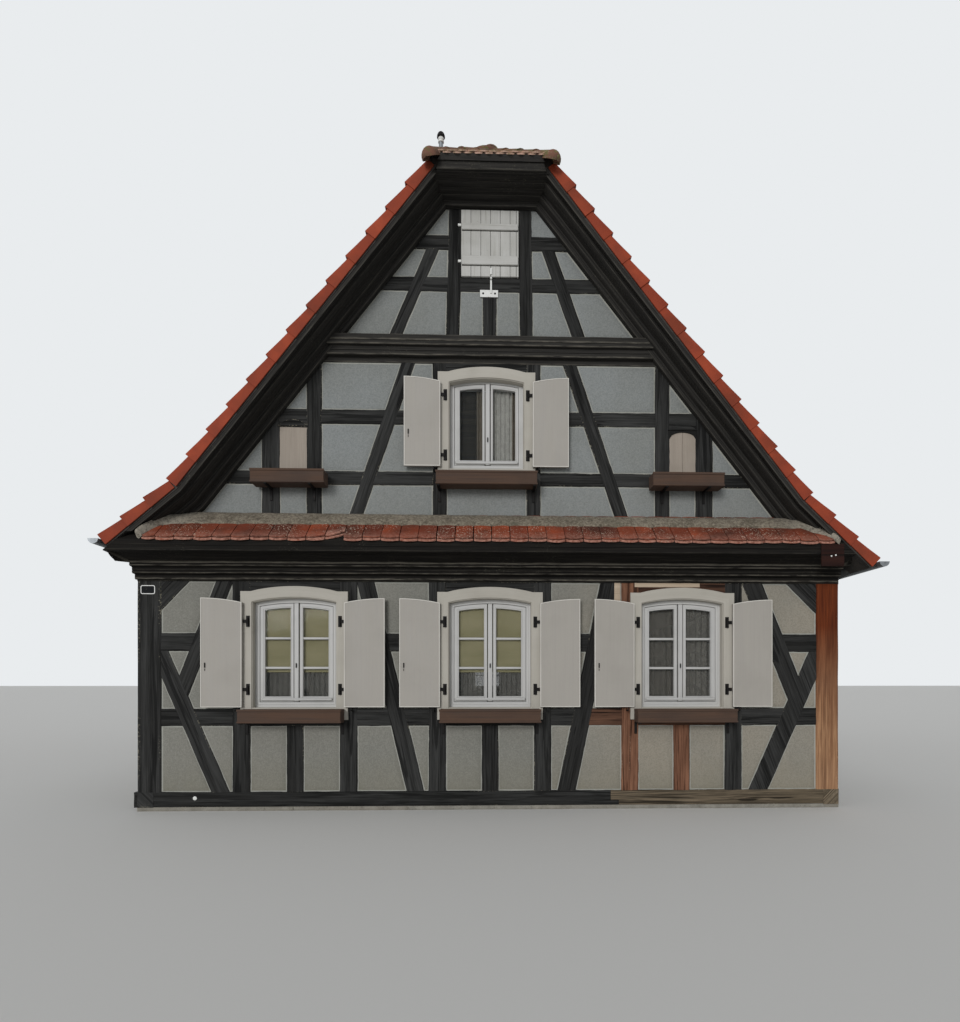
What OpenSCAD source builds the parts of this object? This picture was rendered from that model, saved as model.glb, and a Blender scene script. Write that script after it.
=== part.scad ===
// Half-timbered farmhouse, gable end to the front, with a half-hipped tiled roof.
// Sizes in millimetres. The front gable looks along -Y and +Z is up.
// The origin lies on the underside of the footing, in the middle of the plan.

/* [House] */
// Width of the gable walls
body_w = 8000; // [7900:10:8150]
// Length of the house from gable to gable
body_l = 12000; // [11000:100:14000]
// Thickness of the timber walls
wall_t = 180; // [150:5:200]
// Set-back of the plastered panels behind the timber faces
panel_inset = 12; // [4:1:25]
// Height of the stone footing
footing_h = 45; // [30:5:60]
// Height of the sill beams
sill_h = 165; // [140:5:180]
// How far the old front sill sticks out past the left corner
sill_nose = 35; // [0:5:60]
// Width of the corner posts on the gable side
post_w = 265; // [240:5:290]
// Depth of the corner posts
post_d = 240; // [210:5:280]

/* [Storeys] */
// Underside of the beam over the ground floor
head_z = 2590; // [2570:5:2630]
// Height of that beam
head_h = 200; // [180:5:220]
// Height of the lower attic storey, up to the next beam
attic_h = 2290; // [2270:5:2310]
// Height of the moulded beam between the attic storeys
mid_h = 300; // [280:5:320]
// How far that beam stands out from the gable
mid_out = 100; // [70:5:120]
// Drop from the half-hip eaves to the underside of the cornice below them
hip_cornice_h = 235; // [220:5:250]
// Thickness of the ground floor
ground_floor_t = 110; // [80:5:140]
// Thickness of the attic floors
attic_floor_t = 150; // [120:5:180]

/* [Roof] */
// Height of the bend of the left slope over the attic floor
knee_rise = 800; // [790:2:810]
// Sideways place of the ridge
ridge_x = -30; // [-40:5:-20]
// Pitch of the main slopes in degrees
pitch = 51.8; // [51.6:0.1:52]
// Thickness of the roof covering with its battens and boards
roof_t = 110; // [100:2:120]
// Distance from the left wall in to the bend of the left slope
knee_in_left = 550; // [530:5:570]
// Distance from the right wall in to the bend of the right slope
knee_in_right = 540; // [520:5:560]
// Pitch of the left eave in degrees
flare_left = 40; // [38:0.5:42]
// Pitch of the right eave in degrees
flare_right = 43.5; // [42:0.5:45]
// Overhang of the left eave
over_left = 170; // [160:5:180]
// Overhang of the right eave
over_right = 210; // [200:5:220]
// Overhang of the roof at the gables
verge = 450; // [420:10:480]
// Drop from the ridge to the half-hip eaves
hip_drop = 861; // [850:1:870]
// Pitch of the half-hips in degrees
hip_pitch = 39.5; // [39:0.5:41]
// Overhang of the half-hips
hip_over = 500; // [490:5:520]
// Thickness of the half-hips
hip_t = 60; // [50:2:70]
// Radius of the ridge and hip tiles
cap_r = 95; // [85:5:105]
// Depth of the middle of the hip tiles below the edges that they cover
hip_sink = 50; // [40:5:60]
// Length that shows of one verge tile
verge_gauge = 333; // [320:1:345]

/* [Pent roof and cornice] */
// Rise from the underside of the head beam to the tile edge of the pent roof
pent_rise = 400; // [392:2:408]
// Pitch of the pent roof in degrees
pent_pitch = 39; // [38:0.5:40]
// Thickness of the pent roof tiles
pent_t = 40; // [30:2:46]
// How far the cornice stands out from the wall
cornice_out = 400; // [380:5:420]
// Width of the mortar along the top of the pent roof
mortar_w = 180; // [140:10:220]
// Height of the mortar over the tiles
mortar_h = 22; // [12:2:30]

/* [Windows] */
// Sideways place of the middle window
win_mid = -40; // [-50:5:-30]
// Space between the open shutters of neighbouring windows
leaf_space = 163; // [150:1:175]
// Width of the window openings
open_w = 930; // [920:5:940]
// Height of the bottom of the openings
open_z = 1165; // [1150:5:1180]
// Distance from the foot of the arch up to the head beam
open_drop = 240; // [225:5:250]
// Rise of the arch of the openings
open_rise = 50; // [40:2:60]
// Width of the surround beside the openings
band_w = 135; // [120:5:150]
// How far the surrounds stand out from the timbers
band_out = 35; // [30:1:40]
// Thickness of the linings in the openings
lining = 40; // [35:1:45]
// Sideways place of the attic window
attic_win_x = -80; // [-90:5:-70]
// Width of the attic window opening
attic_open_w = 840; // [830:5:850]
// Height of the bottom of the attic opening over the attic floor
attic_open_rise = 1090; // [1080:5:1100]
// Distance from the foot of its arch up to the next beam
attic_open_drop = 230; // [220:5:240]
// Set-back of the window frames behind the timber faces
frame_back = 60; // [50:5:70]
// Depth of the window frames
frame_d = 60; // [50:5:70]
// Thickness of the glass
glass_t = 6; // [4:1:8]
// Width of the bars between the panes
bar_w = 28; // [24:1:32]
// Half the width of the middle of the window, with its two stiles
mullion_half = 85; // [78:1:90]
// Width of frame and stile at each side
stile_w = 115; // [105:5:120]

/* [Shutters] */
// Thickness of the shutters
leaf_t = 35; // [30:1:38]
// Distance of the hinge axis from the opening
axis_off = 48; // [46:1:52]
// Thickness of the hinge plates on the surrounds
plate_t = 3; // [2:0.5:4]
// Clearance between the hinge eyes and those plates
eye_clear = 1; // [0.8:0.1:2]
// Wall of the hinge eyes around their pins
eye_wall = 2.5; // [2:0.5:4]
// Clearance between a closed shutter and its opening
leaf_gap = 5; // [5:0.5:7]
// Radius of the hinge pins
pin_r = 6; // [5:0.5:6]
// Clearance around the hinge pins
pin_gap = 0.5; // [0.3:0.1:0.6]
// Height of the hinge eyes
eye_h = 60; // [50:2:64]

/* [Hidden] */

half_w = body_w / 2;
half_l = body_l / 2;
front_y = -half_l;
sill_z = footing_h + sill_h;
head_top = head_z + head_h;
mid_z = head_top + attic_h;
mid_top = mid_z + mid_h;
post_in = half_w - post_w;
stud_w = 190;
attic_stud_w = 150;
open_half = open_w / 2;
open_h = head_z - open_drop - open_z;
hole_half = open_half + lining;
attic_half = attic_open_w / 2;
attic_hole = attic_half + lining;
attic_open_z = head_top + attic_open_rise;
attic_open_h = mid_z - attic_open_drop - attic_open_z;
leaf_reach = axis_off + open_half - leaf_gap;
win_pitch = 2 * (open_half + axis_off + leaf_reach) + leaf_space;
wins = [win_mid - win_pitch, win_mid, win_mid + win_pitch];
side_pitch = 3400;
side_wins = [-side_pitch, 0, side_pitch];
door_y = 0;
door_w = 2 * hole_half;
door_h = 2050;
rail_low = [960, 1150];
rail_high = [1805, 2000];
attic_low = [attic_open_z - 185, attic_open_z - lining];
attic_high = [mid_z - 695, mid_z - 540];
rake_t = 275;
seam = 0.3;
pane_drop = 46;
blind_t = 3;
blind_foot = 400;
curtain_gap = 9;
curtain_t = 40;
curtain_y = frame_back + frame_d + blind_t + curtain_gap + curtain_t / 2;
rod_r = 5;
rod_drop = 15;
eye_r = pin_r + pin_gap + eye_wall;
axis_out = band_out + plate_t + eye_clear + eye_r;

tp = tan(pitch);
knee_left = half_w + ridge_x - knee_in_left;
knee_right = half_w - ridge_x - knee_in_right;
eave_left = half_w + ridge_x + over_left;
eave_right = half_w - ridge_x + over_right;
ridge_z = head_top + knee_rise + tp * knee_left;
hip_z = ridge_z - hip_drop;
hip_cornice_z = hip_z - hip_cornice_h;
hatch_top = hip_cornice_z - 25;
upper_mid = [hip_cornice_z - 930, hip_cornice_z - 780];
upper_high = [hip_cornice_z - 455, hip_cornice_z - 300];
pent_z = head_z + pent_rise;

function kin(t, f) = t * (1 / cos(pitch) - 1 / cos(f)) / (tp - tan(f));
function rake_z(t, d) = ridge_z - t / cos(pitch) - tp * d;
function knee_d(t, knee, f) = knee - kin(t, f);
function knee_z(t, knee, f) = rake_z(t, knee_d(t, knee, f));
function flare_d(t, knee, f, z) = knee_d(t, knee, f) + (knee_z(t, knee, f) - z) / tan(f);
knee_lz = ridge_z - tp * knee_left;
knee_rz = ridge_z - tp * knee_right;
eave_lz = knee_lz - tan(flare_left) * (eave_left - knee_left);
eave_rz = knee_rz - tan(flare_right) * (eave_right - knee_right);
hip_y = front_y - hip_over;
hip_run = (ridge_z - hip_z) / tan(hip_pitch);
hip_half = (ridge_z - hip_z) / tp;
pent_top = pent_z + tan(pent_pitch) * verge;
// Levels and sizes of the cutting shapes: below every roof part, and past the whole house
roof_low = hip_z - 1075;
pent_low = pent_z - 990;
reach = half_l / 2;

// Draws a flat x-z shape from y0 to y1
module slice_y(y0, y1) {
    translate([0, y1, 0]) rotate([90, 0, 0]) linear_extrude(height = y1 - y0) children();
}

// Draws a flat y-z shape from x0 to x1
module slice_x(x0, x1) {
    translate([x0, 0, 0]) rotate([90, 0, 90]) linear_extrude(height = x1 - x0) children();
}

// Places a child drawn for the front gable, whose face is y = 0 and whose inside is +y
module at_front() {
    translate([0, front_y, 0]) children();
}

// Places the same child at the rear gable, turned to face the other way
module at_rear() {
    mirror([0, 1, 0]) translate([0, front_y, 0]) children();
}

module at_gables() {
    at_front() children();
    at_rear() children();
}

module rect(x0, x1, z0, z1) {
    translate([x0, z0]) square([x1 - x0, z1 - z0]);
}

// Slanted bar: left edge from x0 at z0 to x1 at z1, with level width w
module bar(x0, x1, w, z0, z1) {
    polygon([[x0, z0], [x0 + w, z0], [x1 + w, z1], [x1, z1]]);
}

// Area under the roof at depth t below its outer face, above z0
module under_roof(t, z0) {
    polygon([
        [ridge_x - flare_d(t, knee_left, flare_left, z0), z0],
        [ridge_x - knee_d(t, knee_left, flare_left), knee_z(t, knee_left, flare_left)],
        [ridge_x, rake_z(t, 0)],
        [ridge_x + knee_d(t, knee_right, flare_right), knee_z(t, knee_right, flare_right)],
        [ridge_x + flare_d(t, knee_right, flare_right, z0), z0]
    ]);
}

// Space above the front half-hip, t below its outer face, in the front gable's place
module above_hip(t) {
    translate([0, -hip_over, hip_z]) rotate([hip_pitch, 0, 0])
        translate([-reach, -reach, -t]) cube([2 * reach, 3 * reach, 2 * reach]);
}

// Opening with an arched head
module arched(half, z0, h, rise) {
    r = (half * half + rise * rise) / (2 * rise);
    rect(-half, half, z0, z0 + h);
    intersection() {
        rect(-half, half, z0 + h - 1, z0 + h + rise + 1);
        translate([0, z0 + h + rise - r]) circle(r = r, $fn = 180);
    }
}

// Ground floor: everything that stands in the plane of a gable wall
module sill_field() {
    rect(-post_in, post_in, sill_z, head_z);
}

// Sideways lean of the long braces per unit of height
lean_left = 0.4285;
lean_right = 0.444;
brace_low = 1200;
brace_left_x = -post_in + 561;
brace_right_x = post_in - 785;
knee_brace = [305, 320, 345, 340];

// Sideways travel of a long brace from the sill up to level z
function travel(lean, z) = lean * (z - sill_z);

// Long braces beside the corners, which run up to the upper rail
module long_brace_left() {
    intersection() {
        bar(brace_left_x, brace_left_x - travel(lean_left, rail_high[0]), 193, sill_z,
            rail_high[0]);
        sill_field();
    }
}

module long_brace_right() {
    intersection() {
        bar(brace_right_x, brace_right_x + travel(lean_right, rail_high[0]), 215, sill_z,
            rail_high[0]);
        sill_field();
    }
}

// Counter braces beside the corners, cut off at the long ones
module counter_braces() {
    difference() {
        bar(-post_in + 76, -post_in + 610, 180, brace_low, head_z);
        bar(brace_left_x - 1307, brace_left_x - 1307 - travel(lean_left, head_z), 1500,
            sill_z, head_z);
    }
    difference() {
        bar(post_in - 285, post_in - 860, 225, brace_low - 50, head_z);
        bar(brace_right_x, brace_right_x + travel(lean_right, head_z), 1500, sill_z, head_z);
    }
}

module ground_braces_2d() {
    win_gap = hole_half + stud_w;
    difference() {
        union() {
            counter_braces();
            long_brace_left();
            long_brace_right();
            bar(wins[1] - win_gap - 250, wins[0] + win_gap, 190, sill_z, head_z);
            bar(wins[1] + win_gap + 80, wins[2] - win_gap - 245, 200, sill_z, head_z);
            polygon([
                [-post_in, head_z], [-post_in, head_z - knee_brace[1]],
                [-post_in + knee_brace[0], head_z]
            ]);
            polygon([
                [post_in, head_z], [post_in - knee_brace[2], head_z],
                [post_in, head_z - knee_brace[3]]
            ]);
        }
        for (c = wins) {
            win_studs(c);
            win_hole(c);
        }
    }
}

// Hole in the timber wall for a ground floor window
module win_hole(c) {
    rect(c - hole_half, c + hole_half, open_z - lining, open_z + open_h + open_rise + lining);
}

module win_studs(c) {
    for (s = [-1, 1])
        rect(c + s * (hole_half + stud_w / 2) - stud_w / 2,
            c + s * (hole_half + stud_w / 2) + stud_w / 2, sill_z, head_z);
}

module low_stud(c) {
    rect(c - 90, c + 90, sill_z, rail_low[0]);
}

module ground_rails_2d() {
    difference() {
        union() {
            rect(-post_in, post_in, rail_low[0], rail_low[1]);
            rect(-post_in, post_in, rail_high[0], rail_high[1]);
            for (c = wins)
                rect(c - hole_half, c + hole_half, open_z + open_h + open_rise + lining, head_z);
        }
        ground_braces_2d();
        for (c = wins) {
            win_hole(c);
            win_studs(c);
        }
    }
}

// Where natural new wood replaces the old rails
module new_rail_zone() {
    rect(wins[2] - 1215, wins[2] + hole_half, rail_low[0] - 10, rail_low[1] + 10);
    rect(wins[2] - hole_half, wins[2] + hole_half, rail_high[1] + 50, head_z);
}

// Where natural new wood replaces the old studs
module new_stud_zone() {
    rect(wins[2] - hole_half - stud_w - 5, wins[2] + 100, sill_z, head_z);
}

module side_range() {
    rect(-half_l + post_d, half_l - post_d, sill_z, head_z);
}

module side_studs_2d() {
    for (c = side_wins) win_studs(c);
    for (s = [-1, 1])
        rect((s * side_pitch - stud_w) / 2, (s * side_pitch + stud_w) / 2, sill_z, head_z);
}

module side_low_studs_2d(door) {
    for (c = side_wins) if (c != door_y || !door) low_stud(c);
}

module side_braces_2d() {
    foot = side_pitch + 950;
    run = 0.62 * (half_l - post_d - foot);
    bar(-foot, -foot - run, stud_w, sill_z, head_z);
    bar(foot - stud_w, foot - stud_w + run, stud_w, sill_z, head_z);
}

module door_hole() {
    rect(door_y - door_w / 2, door_y + door_w / 2, sill_z, sill_z + door_h);
}

module side_holes_2d(door) {
    for (c = side_wins) if (c != door_y || !door) win_hole(c);
    if (door) door_hole();
}

module side_rails_2d(door) {
    difference() {
        union() {
            intersection() {
                rect(-half_l, half_l, rail_low[0], rail_low[1]);
                side_range();
            }
            intersection() {
                rect(-half_l, half_l, rail_high[0], rail_high[1]);
                side_range();
            }
            for (c = side_wins)
                rect(c - hole_half, c + hole_half, open_z + open_h + open_rise + lining, head_z);
            if (door)
                rect(door_y - hole_half, door_y + hole_half, sill_z + door_h, head_z);
        }
        side_holes_2d(door);
        side_studs_2d();
        side_braces_2d();
    }
}

// Attic storeys: members in the plane of the gable
attic_top = hip_cornice_z + 60;
hip_band = 365;
attic_post_w = 160;
outer_post_w = 190;
hatch_w = 310;
hatch_l = [-knee_left + 1308 - hatch_w, -knee_left + 1308];
hatch_r = [knee_right - 1470, knee_right - 1470 + hatch_w];
top_hatch = [-450, 380];
hatch_z1 = attic_high[0] - 45;

module attic_studs_2d() {
    intersection() {
        union() {
            rect(hatch_l[1], hatch_l[1] + attic_post_w, head_top, mid_z);
            rect(hatch_r[0] - attic_post_w, hatch_r[0], head_top, mid_z);
            rect(hatch_l[0] - outer_post_w, hatch_l[0], head_top, mid_z);
            rect(hatch_r[1], hatch_r[1] + outer_post_w, head_top, mid_z);
            for (s = [-1, 1])
                rect(attic_win_x + s * (attic_hole + attic_stud_w / 2) - attic_stud_w / 2,
                    attic_win_x + s * (attic_hole + attic_stud_w / 2) + attic_stud_w / 2,
                    head_top, mid_z);
            bar(top_hatch[0] - 90, top_hatch[0] - 50, 143, mid_top, attic_top);
            bar(top_hatch[1] - 77, top_hatch[1] - 90, 138, mid_top, attic_top);
            rect(-118, 28, mid_top, upper_mid[0]);
        }
        under_roof(rake_t, head_top);
    }
}

module attic_braces_2d() {
    bar(hatch_l[1] + 291, attic_win_x - 965, 145, head_top, mid_z);
    bar(hatch_r[0] - 437, attic_win_x + 880, 148, head_top, mid_z);
    bar(top_hatch[0] - 740, top_hatch[0] - 312, 135, mid_top, upper_high[0]);
    bar(top_hatch[1] + 532, top_hatch[1] + 176, 140, mid_top, upper_high[0]);
}

module attic_win_hole() {
    rect(attic_win_x - attic_hole, attic_win_x + attic_hole, attic_open_z - lining,
        attic_open_z + attic_open_h + open_rise + lining);
}

module hatch_holes() {
    rect(hatch_l[0], hatch_l[1], attic_low[1], hatch_z1);
    rect(hatch_r[0], hatch_r[1], attic_low[1], hatch_z1);
    rect(top_hatch[0], top_hatch[1], upper_mid[1], hatch_top);
}

module attic_rails_2d() {
    difference() {
        intersection() {
            union() {
                rect(-half_w, half_w, attic_low[0], attic_low[1]);
                rect(-half_w, half_w, attic_high[0], attic_high[1]);
                rect(-half_w, half_w, upper_mid[0], upper_mid[1]);
                rect(-half_w, half_w, upper_high[0], upper_high[1]);
                rect(top_hatch[0], top_hatch[1], hatch_top, attic_top);
                rect(hatch_l[0], hatch_l[1], hatch_z1, attic_high[0] + 1);
                rect(hatch_r[0], hatch_r[1], hatch_z1, attic_high[0] + 1);
                rect(attic_win_x - attic_hole, attic_win_x + attic_hole,
                    attic_open_z + attic_open_h + open_rise + lining, mid_z);
            }
            under_roof(rake_t, head_top);
        }
        attic_studs_2d();
        attic_braces_2d();
        attic_win_hole();
        hatch_holes();
    }
}

module attic_panels_2d() {
    difference() {
        intersection() {
            union() {
                rect(-half_w, half_w, head_top, mid_z);
                rect(-half_w, half_w, mid_top, attic_top);
            }
            under_roof(rake_t + seam, head_top);
        }
        attic_studs_2d();
        attic_rails_2d();
        attic_braces_2d();
        attic_win_hole();
        hatch_holes();
    }
}

// Space filled by the pent roof and the cornice below it, in the front gable's place
module pent_space(extra) {
    slice_x(-half_w - 400, half_w + 400)
        polygon([
            [-verge - 20, pent_low], [1, pent_low], [1, pent_top + extra + tan(pent_pitch)],
            [-verge - 20, pent_z + extra - tan(pent_pitch) * 20]
        ]);
}

// One band of the raking cornice between depths t0 and t1 below the tiles
module rake_band(t0, t1) {
    difference() {
        intersection() {
            under_roof(t0, head_top);
            rect(-half_w, half_w, head_top, hip_z + hip_band);
        }
        under_roof(t1, head_top - 600);
    }
}

module footing() {
    color("gray") translate([-half_w, -half_l, 0]) cube([body_w, body_l, footing_h]);
}

module floors() {
    color("burlywood") {
        translate([-half_w + wall_t, -half_l + wall_t, footing_h])
            cube([body_w - 2 * wall_t, body_l - 2 * wall_t, ground_floor_t]);
        translate([-half_w + wall_t, -half_l + wall_t, head_top - attic_floor_t])
            cube([body_w - 2 * wall_t, body_l - 2 * wall_t, attic_floor_t]);
        slice_y(-half_l + wall_t, half_l - wall_t)
            intersection() {
                rect(-half_w, half_w, mid_top - attic_floor_t, mid_top);
                under_roof(roof_t + seam, head_top);
            }
    }
}

sill_end = wins[2] - 820;

// The old sill is broken off near the right window and goes on in new wood
module sill_split(x_up, x_low) {
    polygon([
        [-half_w - sill_nose, footing_h], [x_low, footing_h], [x_low, footing_h + 55],
        [x_up, footing_h + 55], [x_up, sill_z], [-half_w - sill_nose, sill_z]
    ]);
}

module gable_sills() {
    color("dimgray") {
        at_front() slice_y(0, wall_t) sill_split(sill_end, sill_end + 95);
        at_rear() slice_y(0, wall_t) rect(-half_w, half_w, footing_h, sill_z);
    }
}

module replaced_sill() {
    color("sienna") at_front() slice_y(0, wall_t)
        difference() {
            rect(sill_end - 45, half_w, footing_h, sill_z);
            sill_split(sill_end, sill_end + 95);
        }
}

module side_sills() {
    color("dimgray") for (x = [-half_w, half_w - wall_t])
        translate([x, -half_l + wall_t, footing_h])
            cube([wall_t, body_l - 2 * wall_t, sill_h]);
}

module corner_posts() {
    color("dimgray") {
        translate([-half_w, -half_l, sill_z]) cube([post_w, post_d, head_z - sill_z]);
        for (x = [-half_w, half_w - post_w])
            translate([x, half_l - post_d, sill_z]) cube([post_w, post_d, head_z - sill_z]);
    }
}

module replaced_corner_post() {
    color("peru") translate([half_w - post_w, -half_l, sill_z])
        cube([post_w, post_d, head_z - sill_z]);
}

module ground_studs() {
    color("dimgray") {
        at_front() slice_y(0, wall_t) difference() {
            for (c = wins) {
                win_studs(c);
                low_stud(c);
            }
            new_stud_zone();
        }
        at_rear() slice_y(0, wall_t) for (c = wins) {
            win_studs(c);
            low_stud(c);
        }
        slice_x(-half_w, -half_w + wall_t) {
            side_studs_2d();
            side_low_studs_2d(false);
        }
        slice_x(half_w - wall_t, half_w) {
            side_studs_2d();
            side_low_studs_2d(true);
        }
    }
}

module replaced_studs() {
    color("sienna") at_front() slice_y(0, wall_t) difference() {
        intersection() {
            union() {
                win_studs(wins[2]);
                low_stud(wins[2]);
            }
            new_stud_zone();
        }
        rect(wins[2] - hole_half - 98, wins[2] - hole_half - 94, sill_z, head_z);
    }
}

module ground_rails() {
    color("dimgray") {
        at_front() slice_y(0, wall_t) difference() {
            ground_rails_2d();
            new_rail_zone();
        }
        at_rear() slice_y(0, wall_t) ground_rails_2d();
        slice_x(-half_w, -half_w + wall_t) side_rails_2d(false);
        slice_x(half_w - wall_t, half_w) side_rails_2d(true);
    }
}

module replaced_rails() {
    color("sienna") at_front() slice_y(0, wall_t) intersection() {
        ground_rails_2d();
        new_rail_zone();
    }
}

module ground_braces() {
    color("dimgray") {
        at_gables() slice_y(0, wall_t) ground_braces_2d();
        slice_x(-half_w, -half_w + wall_t) side_braces_2d();
        slice_x(half_w - wall_t, half_w) side_braces_2d();
    }
}

module side_panels_2d(door) {
    difference() {
        side_range();
        side_studs_2d();
        side_low_studs_2d(door);
        side_rails_2d(door);
        side_braces_2d();
        side_holes_2d(door);
    }
}

module ground_panels() {
    color("darkgray") {
        at_gables() slice_y(panel_inset, wall_t) difference() {
            sill_field();
            ground_braces_2d();
            ground_rails_2d();
            for (c = wins) {
                win_studs(c);
                low_stud(c);
                win_hole(c);
            }
        }
        slice_x(-half_w + panel_inset, -half_w + wall_t) side_panels_2d(false);
        slice_x(half_w - wall_t, half_w - panel_inset) side_panels_2d(true);
    }
}

// The moulded beam between the attic storeys, as steps in front of the wall
module mid_beam() {
    slice_y(0, wall_t) intersection() {
        rect(-half_w, half_w, mid_z, mid_top);
        under_roof(rake_t, head_top);
    }
    slice_y(-mid_out * 0.6, 0) intersection() {
        rect(-half_w, half_w, mid_z + 60, mid_top);
        under_roof(rake_t, head_top);
    }
    slice_y(-mid_out, -mid_out * 0.6) intersection() {
        rect(-half_w, half_w, mid_z + 160, mid_top - 15);
        under_roof(rake_t, head_top);
    }
}

module gable_beams() {
    color("dimgray") at_gables() {
        translate([-half_w, 0, head_z]) cube([body_w, wall_t, head_h]);
        mid_beam();
    }
}

module attic_studs() {
    color("dimgray") at_gables() slice_y(0, wall_t) attic_studs_2d();
}

module attic_rails() {
    color("dimgray") at_gables() slice_y(0, wall_t) attic_rails_2d();
}

module attic_braces() {
    color("dimgray") at_gables() slice_y(0, wall_t) attic_braces_2d();
}

module attic_panels() {
    color("darkgray") at_gables() {
        slice_y(panel_inset, wall_t) attic_panels_2d();
        difference() {
            slice_y(panel_inset, wall_t) union() {
                intersection() {
                    rect(-half_w, half_w, attic_top, ridge_z);
                    under_roof(rake_t + seam, head_top);
                }
                intersection() {
                    rect(-half_w, half_w, hip_z + hip_band, ridge_z);
                    under_roof(roof_t + seam, head_top);
                }
            }
            above_hip(hip_t);
        }
    }
}

// Cornice under the pent roof: stepped mouldings that follow the roof above
module cornice_profile() {
    under = pent_t / cos(pent_pitch) + seam;
    polygon([
        [0, head_z + 10], [-50, head_z + 10], [-50, head_z + 65], [-110, head_z + 75],
        [-110, head_z + 135], [-165, head_z + 145], [-165, head_z + 190],
        [-cornice_out + 100, head_z + 260], [-cornice_out, head_z + 270],
        [-cornice_out, pent_z - under + tan(pent_pitch) * (verge - cornice_out)],
        [0, pent_top - under]
    ]);
}

module front_cornice() {
    color("dimgray") at_front() intersection() {
        union() {
            slice_x(-half_w, half_w) cornice_profile();
            slice_x(-half_w - 154, half_w + 100) intersection() {
                cornice_profile();
                rect(-cornice_out, -165, head_z + 190, pent_top);
            }
        }
        slice_y(-verge, 1) under_roof(roof_t + seam, pent_low);
    }
}

// Flat plan of the pent roof tiles, wider at the eave than at the wall
module pent_plan(grow) {
    polygon([
        [-half_w + 255 - grow, -verge], [half_w - 234 + grow, -verge],
        [half_w - 502 + grow, 0], [-half_w + 453 - grow, 0]
    ]);
}

module pent_slab(t0, t1) {
    slice_x(-half_w, half_w) polygon([
        [-verge, pent_z + t0], [-verge, pent_z + t1], [0, pent_top + t1], [0, pent_top + t0]
    ]);
}

broken_x = -1787;

module pent_roof_tiles() {
    drop = -pent_t / cos(pent_pitch);
    color("indianred") at_front() difference() {
        intersection() {
            pent_slab(drop, 0);
            translate([0, 0, pent_low]) linear_extrude(height = reach) pent_plan(0);
            slice_y(-verge, 1) under_roof(roof_t + seam, pent_low);
        }
        // Missing piece of the broken tile
        translate([broken_x, -verge - 10, pent_z - 100]) cube([190, 115, 300]);
    }
}

module pent_roof_mortar() {
    drop = -pent_t / cos(pent_pitch);
    color("tan") at_front() intersection() {
        union() {
            intersection() {
                pent_slab(0, mortar_h);
                translate([-half_w, -mortar_w, pent_low]) cube([body_w, mortar_w, reach]);
                translate([0, 0, pent_low]) linear_extrude(height = reach) pent_plan(80);
            }
            intersection() {
                pent_slab(drop, mortar_h);
                translate([0, 0, pent_low]) linear_extrude(height = reach) difference() {
                    pent_plan(80);
                    pent_plan(0);
                }
            }
        }
        slice_y(-verge, 1) under_roof(roof_t + seam, pent_low);
    }
}

module raking_cornices() {
    color("dimgray") at_gables() difference() {
        union() {
            slice_y(-60, wall_t) rake_band(roof_t + seam, rake_t);
            slice_y(-140, -60) rake_band(roof_t + seam, 215);
            slice_y(-300, -140) rake_band(roof_t + seam, 165);
            slice_y(-verge + 5, -verge + 35) rake_band(roof_t + seam, 150);
        }
        pent_space(mortar_h + seam);
        above_hip(hip_t);
        difference() {
            mid_beam();
            translate([-half_w, 0, mid_z - 1]) cube([body_w, wall_t, mid_h + 2]);
        }
    }
}

module hip_cornice_layer(y0, y1, t, z) {
    slice_y(y0, y1) intersection() {
        under_roof(t, head_top);
        rect(-half_w, half_w, z, hip_z + hip_band);
    }
}

module half_hip_cornices() {
    color("dimgray") at_gables() difference() {
        union() {
            hip_cornice_layer(-60, 0, rake_t, hip_cornice_z);
            hip_cornice_layer(-140, -60, 215, hip_cornice_z + 60);
            hip_cornice_layer(-300, -140, 165, hip_cornice_z + 85);
            hip_cornice_layer(-verge + 35, -300, roof_t + seam, hip_cornice_z + 100);
            hip_cornice_layer(-verge + 5, -verge + 35, 150, hip_cornice_z + 110);
        }
        above_hip(hip_t);
    }
}

// Height of the roof's underside at distance d from the ridge line, out on the eave
function side_z(knee, f, t, d) = knee_z(t, knee, f) - tan(f) * (d - knee_d(t, knee, f));

module under_side(knee, f, t) {
    polygon([
        [half_w - 900, side_z(knee, f, t, half_w - 900)],
        [half_w + 400, side_z(knee, f, t, half_w + 400)],
        [half_w + 400, 1000], [half_w - 900, 1000]
    ]);
}

module eave_plates() {
    color("dimgray") {
        slice_y(-half_l + wall_t, half_l - wall_t) {
            mirror([1, 0]) intersection() {
                rect(half_w - wall_t, half_w, head_z, head_z + 900);
                translate([-ridge_x, 0]) under_side(knee_left, flare_left, roof_t + seam);
            }
            intersection() {
                rect(half_w - wall_t, half_w, head_z, head_z + 900);
                translate([ridge_x, 0]) under_side(knee_right, flare_right, roof_t + seam);
            }
        }
        slice_y(-half_l, half_l + verge - 5) {
            mirror([1, 0]) soffit_2d(-ridge_x, knee_left, flare_left, eave_left, eave_lz, 265);
            soffit_2d(ridge_x, knee_right, flare_right, eave_right, eave_rz, 200);
        }
    }
}

module soffit_2d(shift, knee, f, eave, eave_z, depth) {
    t = roof_t + seam;
    wall_under = side_z(knee, f, t, half_w - shift);
    polygon([
        [half_w, wall_under - depth],
        [eave + shift - t * sin(f), eave_z - t * cos(f)],
        [half_w, wall_under]
    ]);
}

// Section of a main slope, drawn for the left side
module slope_2d(knee, f) {
    ki = kin(roof_t, f);
    tv = roof_t / cos(pitch);
    polygon([
        [0, ridge_z], [-knee, ridge_z - tp * knee],
        [-knee + ki, ridge_z - tv - tp * (knee - ki)], [0, ridge_z - tv]
    ]);
}

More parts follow.
